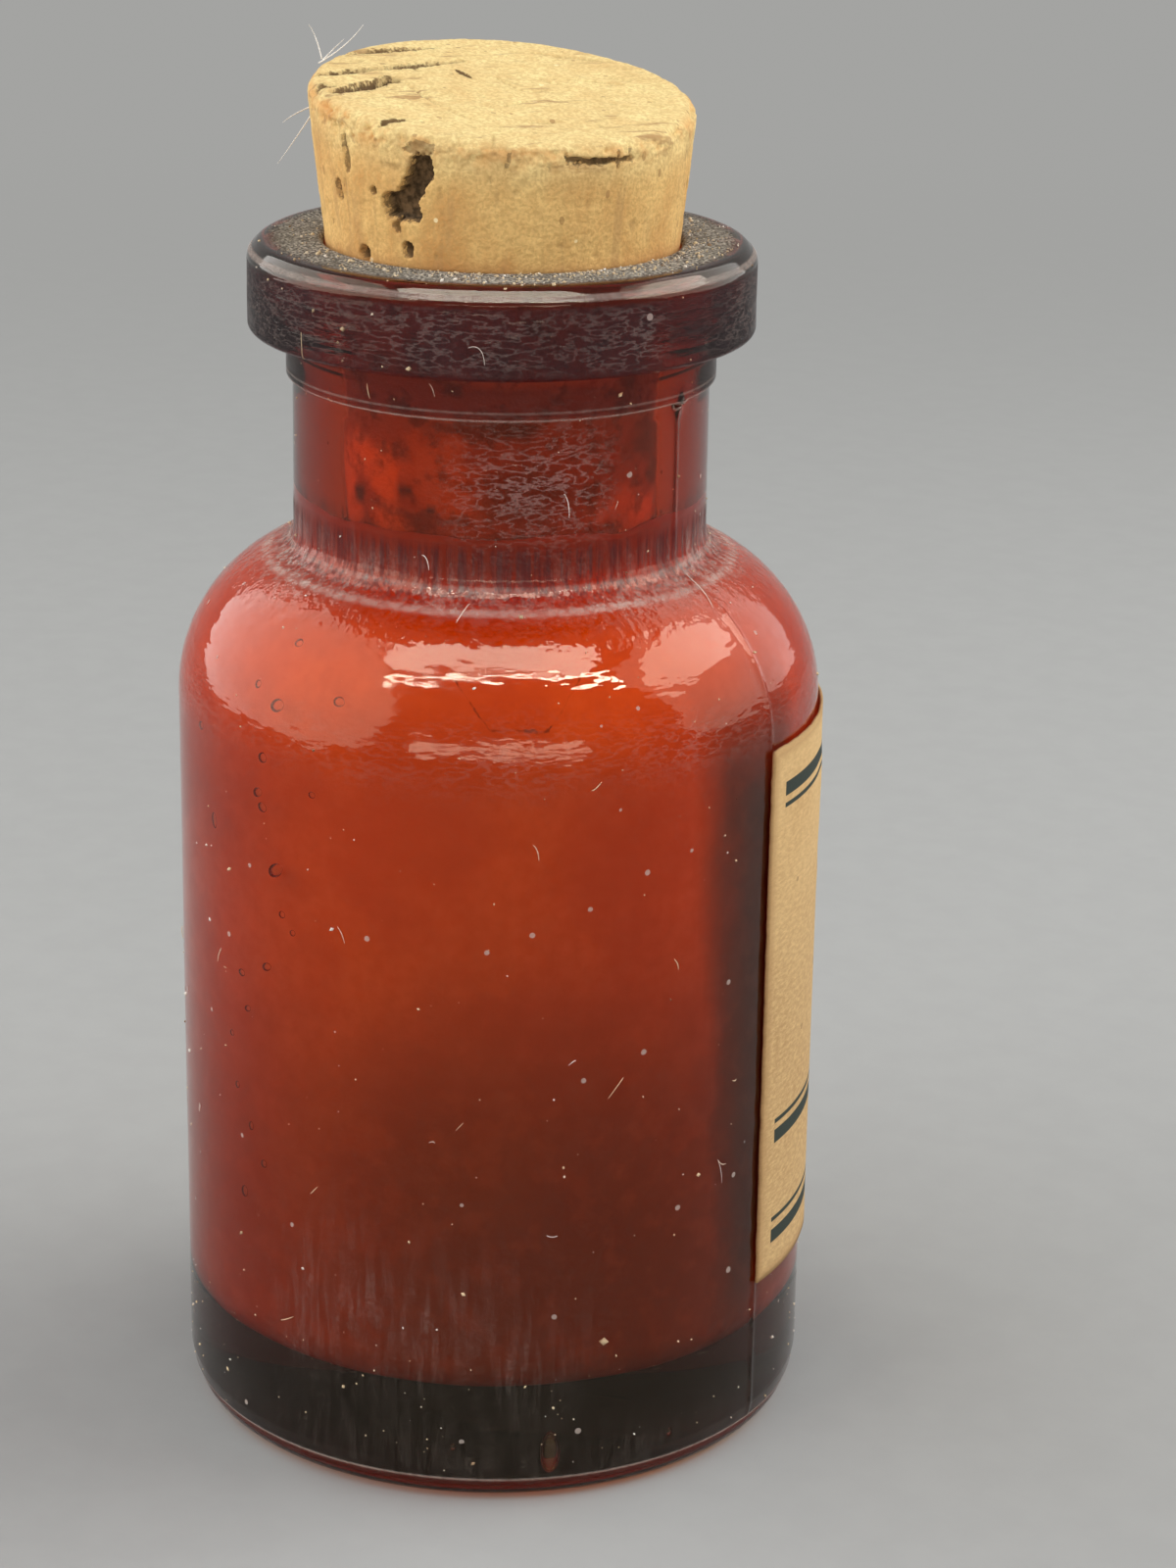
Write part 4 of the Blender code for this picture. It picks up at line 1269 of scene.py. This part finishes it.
# Soft lamps: name, shape, angle round from the camera, elevation, distance in metres, size in metres, power in watts
SOFTBOXES = (
    ("left", "ELLIPSE", -92, 25, 0.45, (1.04, 0.60), 3.6),
    ("right", "RECTANGLE", 104, 30, 0.45, (0.66, 0.50), 1.7),
    ("right_near", "ELLIPSE", 94, 40, 0.44, (0.36, 0.20), 0.85),
    ("front_strip", "RECTANGLE", 0, 7, 0.60, (0.69, 0.084), 0.9),
)
# Lamps for highlights alone, and then those that only fill
GLEAMS = (
    ("overhead_strip", "RECTANGLE", 2, 58, 0.45, (0.66, 0.026), 2.1),
    ("overhead", "RECTANGLE", -6, 71, 0.45, (0.48, 0.13), 2.0),
)
FILLS = (
    ("front_fill", "RECTANGLE", 0, 16, 0.60, (0.80, 0.40), 0.72),
    ("top_fill", "RECTANGLE", 0, 68, 0.45, (0.50, 0.12), 0.50),
)


# Height that the lamps are aimed at, and the radii and sides of the floor, all but the last in metres
AIM_HEIGHT, FLOOR_RADII, FLOOR_SIDES = 0.04, (0.05, 0.2, 0.8, 2.0), 64
# From here out to there the floor fades into the backdrop's tone, in metres
FADE = (0.10, 0.40)


def studio_matrix(s):
    """Turns the studio, whose camera looks along +Y, to the camera's bearing."""
    return Matrix.Rotation(s.camera_bearing + math.pi / 2, 3, "Z")


def add_camera(s):
    """The camera, turned by yaw, pitch and roll from its level view at the bottle's axis."""
    ahead = Vector((math.sin(s.yaw) * math.cos(s.pitch), math.cos(s.yaw) * math.cos(s.pitch), -math.sin(s.pitch)))
    right = Vector((math.cos(s.yaw), -math.sin(s.yaw), 0))
    up = right.cross(ahead)
    lean = Matrix.Rotation(s.roll, 3, -ahead)
    right, up = lean @ right, lean @ up
    turn = studio_matrix(s)
    axes = turn @ Matrix((right, up, -ahead)).transposed()
    data = bpy.data.cameras.new("camera")
    data.lens = s.lens
    data.clip_start, data.clip_end = 0.01, 20.0
    camera = bpy.data.objects.new("camera", data)
    camera.matrix_world = Matrix.Translation(turn @ Vector((0, -s.camera_distance, s.camera_height))) @ axes.to_4x4()
    bpy.context.collection.objects.link(camera)
    bpy.context.scene.camera = camera


def add_softbox(s, name, form, across, elevation, distance, size, power):
    """A soft lamp aimed at the bottle: across is its angle round from the camera, to the right."""
    across, elevation = math.radians(across), math.radians(elevation)
    level = math.cos(elevation)
    back = studio_matrix(s) @ Vector((math.sin(across) * level, -math.cos(across) * level, math.sin(elevation)))
    data = bpy.data.lights.new(name, "AREA")
    data.shape = form
    data.size, data.size_y = size
    data.energy = power
    lamp = bpy.data.objects.new(name, data)
    turn = back.to_track_quat("Z", "Y").to_matrix().to_4x4()
    lamp.matrix_world = Matrix.Translation(back * distance + Vector((0, 0, AIM_HEIGHT))) @ turn
    lamp.visible_camera = lamp.visible_transmission = False
    bpy.context.collection.objects.link(lamp)
    return lamp


def backdrop_strength(tree, s):
    """1 where the backdrop is seen, straight or in the glass, and the sky's strength where it only lights."""
    path = place(tree, "LightPath").outputs
    seen = Value(path["Is Glossy Ray"]).most(Value(path["Is Transmission Ray"])).most(Value(path["Is Camera Ray"]))
    return ramp(seen, 0.0, 1.0, s.sky / s.floor[0], 1.0)


def floor_material(s):
    """A matt pale surface with a faint grain, which fades away from the object into the backdrop's even tone."""
    made, tree, where = new_material("studio_floor")
    base = blended(ramp(noise(where, 300.0, 4.0), 0.3, 0.7), s.floor, [0.97 * value for value in s.floor])
    shader = principled(tree, {"Base Color": base, "Roughness": 0.9, "Specular IOR Level": 0.2})
    glow = result(tree, "Emission", {"Color": rgba(s.floor), "Strength": backdrop_strength(tree, s)})
    away = result(tree, "VectorMath", {0: where}, "Value", operation="LENGTH")
    mixed = result(tree, "MixShader", {0: ramp(away, *FADE), 1: shader, 2: glow})
    place(tree, "OutputMaterial", {"Surface": mixed})
    return made


def make_stage():
    """A round floor, z = 0 out to 2 m, the sky, the lamps and the camera."""
    s = bpy.context.scene.bottle_studio
    radius = np.array(FLOOR_RADII)[:, None]
    turns = np.arange(FLOOR_SIDES) * math.tau / FLOOR_SIDES
    points, quads, triangles = closed_grid(polar(radius, turns, 0), (0, 0, 0), (0, 0, 0))
    mesh = bpy.data.meshes.new("studio_floor")
    faces = quads[:, ::-1].tolist() + triangles[:FLOOR_SIDES, ::-1].tolist()
    mesh.from_pydata(points[:-1].tolist(), [], faces)
    mesh.materials.append(floor_material(s))
    floor = bpy.data.objects.new("studio_floor", mesh)
    bpy.context.collection.objects.link(floor)
    world = bpy.data.worlds.new("studio")
    world.use_nodes = True
    tree = world.node_tree
    tree.nodes.clear()
    light = result(tree, "Background", {"Color": rgba(s.floor), "Strength": backdrop_strength(tree, s)})
    place(tree, "OutputWorld", {"Surface": light})
    bpy.context.scene.world = world
    for lamp in SOFTBOXES:
        add_softbox(s, *lamp)
    for lamp in GLEAMS:
        gleam = add_softbox(s, *lamp)
        gleam.visible_diffuse, gleam.data.color = False, s.gleam
    for lamp in FILLS:
        add_softbox(s, *lamp).visible_glossy = False
    add_camera(s)
    bpy.context.scene.view_settings.view_transform = "Standard"


# Operators and panel

class BOTTLE_OT_stage(bpy.types.Operator):
    """Makes the floor, the lamps and the camera"""

    bl_idname = "bottle.stage"
    bl_label = "Studio"

    def execute(self, context):
        make_stage()
        return {"FINISHED"}


class BOTTLE_OT_glass(bpy.types.Operator):
    """Makes the moulded glass"""

    bl_idname = "bottle.glass"
    bl_label = "Glass"

    def execute(self, context):
        make_glass()
        return {"FINISHED"}


class BOTTLE_OT_bubbles(bpy.types.Operator):
    """Makes the air bubbles in the glass"""

    bl_idname = "bottle.bubbles"
    bl_label = "Air bubbles"

    def execute(self, context):
        make_bubbles()
        return {"FINISHED"}


class BOTTLE_OT_powder(bpy.types.Operator):
    """Makes the caked powder"""

    bl_idname = "bottle.powder"
    bl_label = "Powder"

    def execute(self, context):
        make_powder()
        return {"FINISHED"}


class BOTTLE_OT_cork(bpy.types.Operator):
    """Makes the pitted cork"""

    bl_idname = "bottle.cork"
    bl_label = "Cork"

    def execute(self, context):
        make_cork()
        return {"FINISHED"}


class BOTTLE_OT_label(bpy.types.Operator):
    """Makes the paper label"""

    bl_idname = "bottle.label"
    bl_label = "Label"

    def execute(self, context):
        make_label()
        return {"FINISHED"}


class BOTTLE_OT_dust(bpy.types.Operator):
    """Makes the film of dust, the specks and the grit"""

    bl_idname = "bottle.dust"
    bl_label = "Dust"

    def execute(self, context):
        make_dust()
        make_specks()
        return {"FINISHED"}


class BOTTLE_OT_fibres(bpy.types.Operator):
    """Makes the lint on the glass and the hairs on the cork"""

    bl_idname = "bottle.fibres"
    bl_label = "Fibres"

    def execute(self, context):
        make_fibres()
        return {"FINISHED"}


OPERATORS = (
    BOTTLE_OT_stage, BOTTLE_OT_glass, BOTTLE_OT_bubbles, BOTTLE_OT_powder, BOTTLE_OT_cork, BOTTLE_OT_label,
    BOTTLE_OT_dust, BOTTLE_OT_fibres,
)


class BOTTLE_PT_panel(bpy.types.Panel):
    """Lists the pieces and their settings"""

    bl_label = "Apothecary bottle"
    bl_idname = "BOTTLE_PT_panel"
    bl_space_type = "VIEW_3D"
    bl_region_type = "UI"
    bl_category = "Bottle"

    def draw(self, context):
        for operator in OPERATORS:
            self.layout.operator(operator.bl_idname)
        for name, group in SETTINGS.items():
            box = self.layout.box()
            box.label(text=group.__doc__)
            for key in group.__annotations__:
                box.prop(getattr(context.scene, name), key)


def register():
    for cls in (*SETTINGS.values(), *OPERATORS, BOTTLE_PT_panel):
        bpy.utils.register_class(cls)
    for name, cls in SETTINGS.items():
        setattr(bpy.types.Scene, name, PointerProperty(type=cls))


def unregister():
    for name in SETTINGS:
        delattr(bpy.types.Scene, name)
    for cls in (BOTTLE_PT_panel, *reversed(OPERATORS), *SETTINGS.values()):
        bpy.utils.unregister_class(cls)


def main():
    register()
    for name in ("stage", "glass", "bubbles", "powder", "cork", "label", "dust", "fibres"):
        getattr(bpy.ops.bottle, name)()


if __name__ == "__main__":
    main()
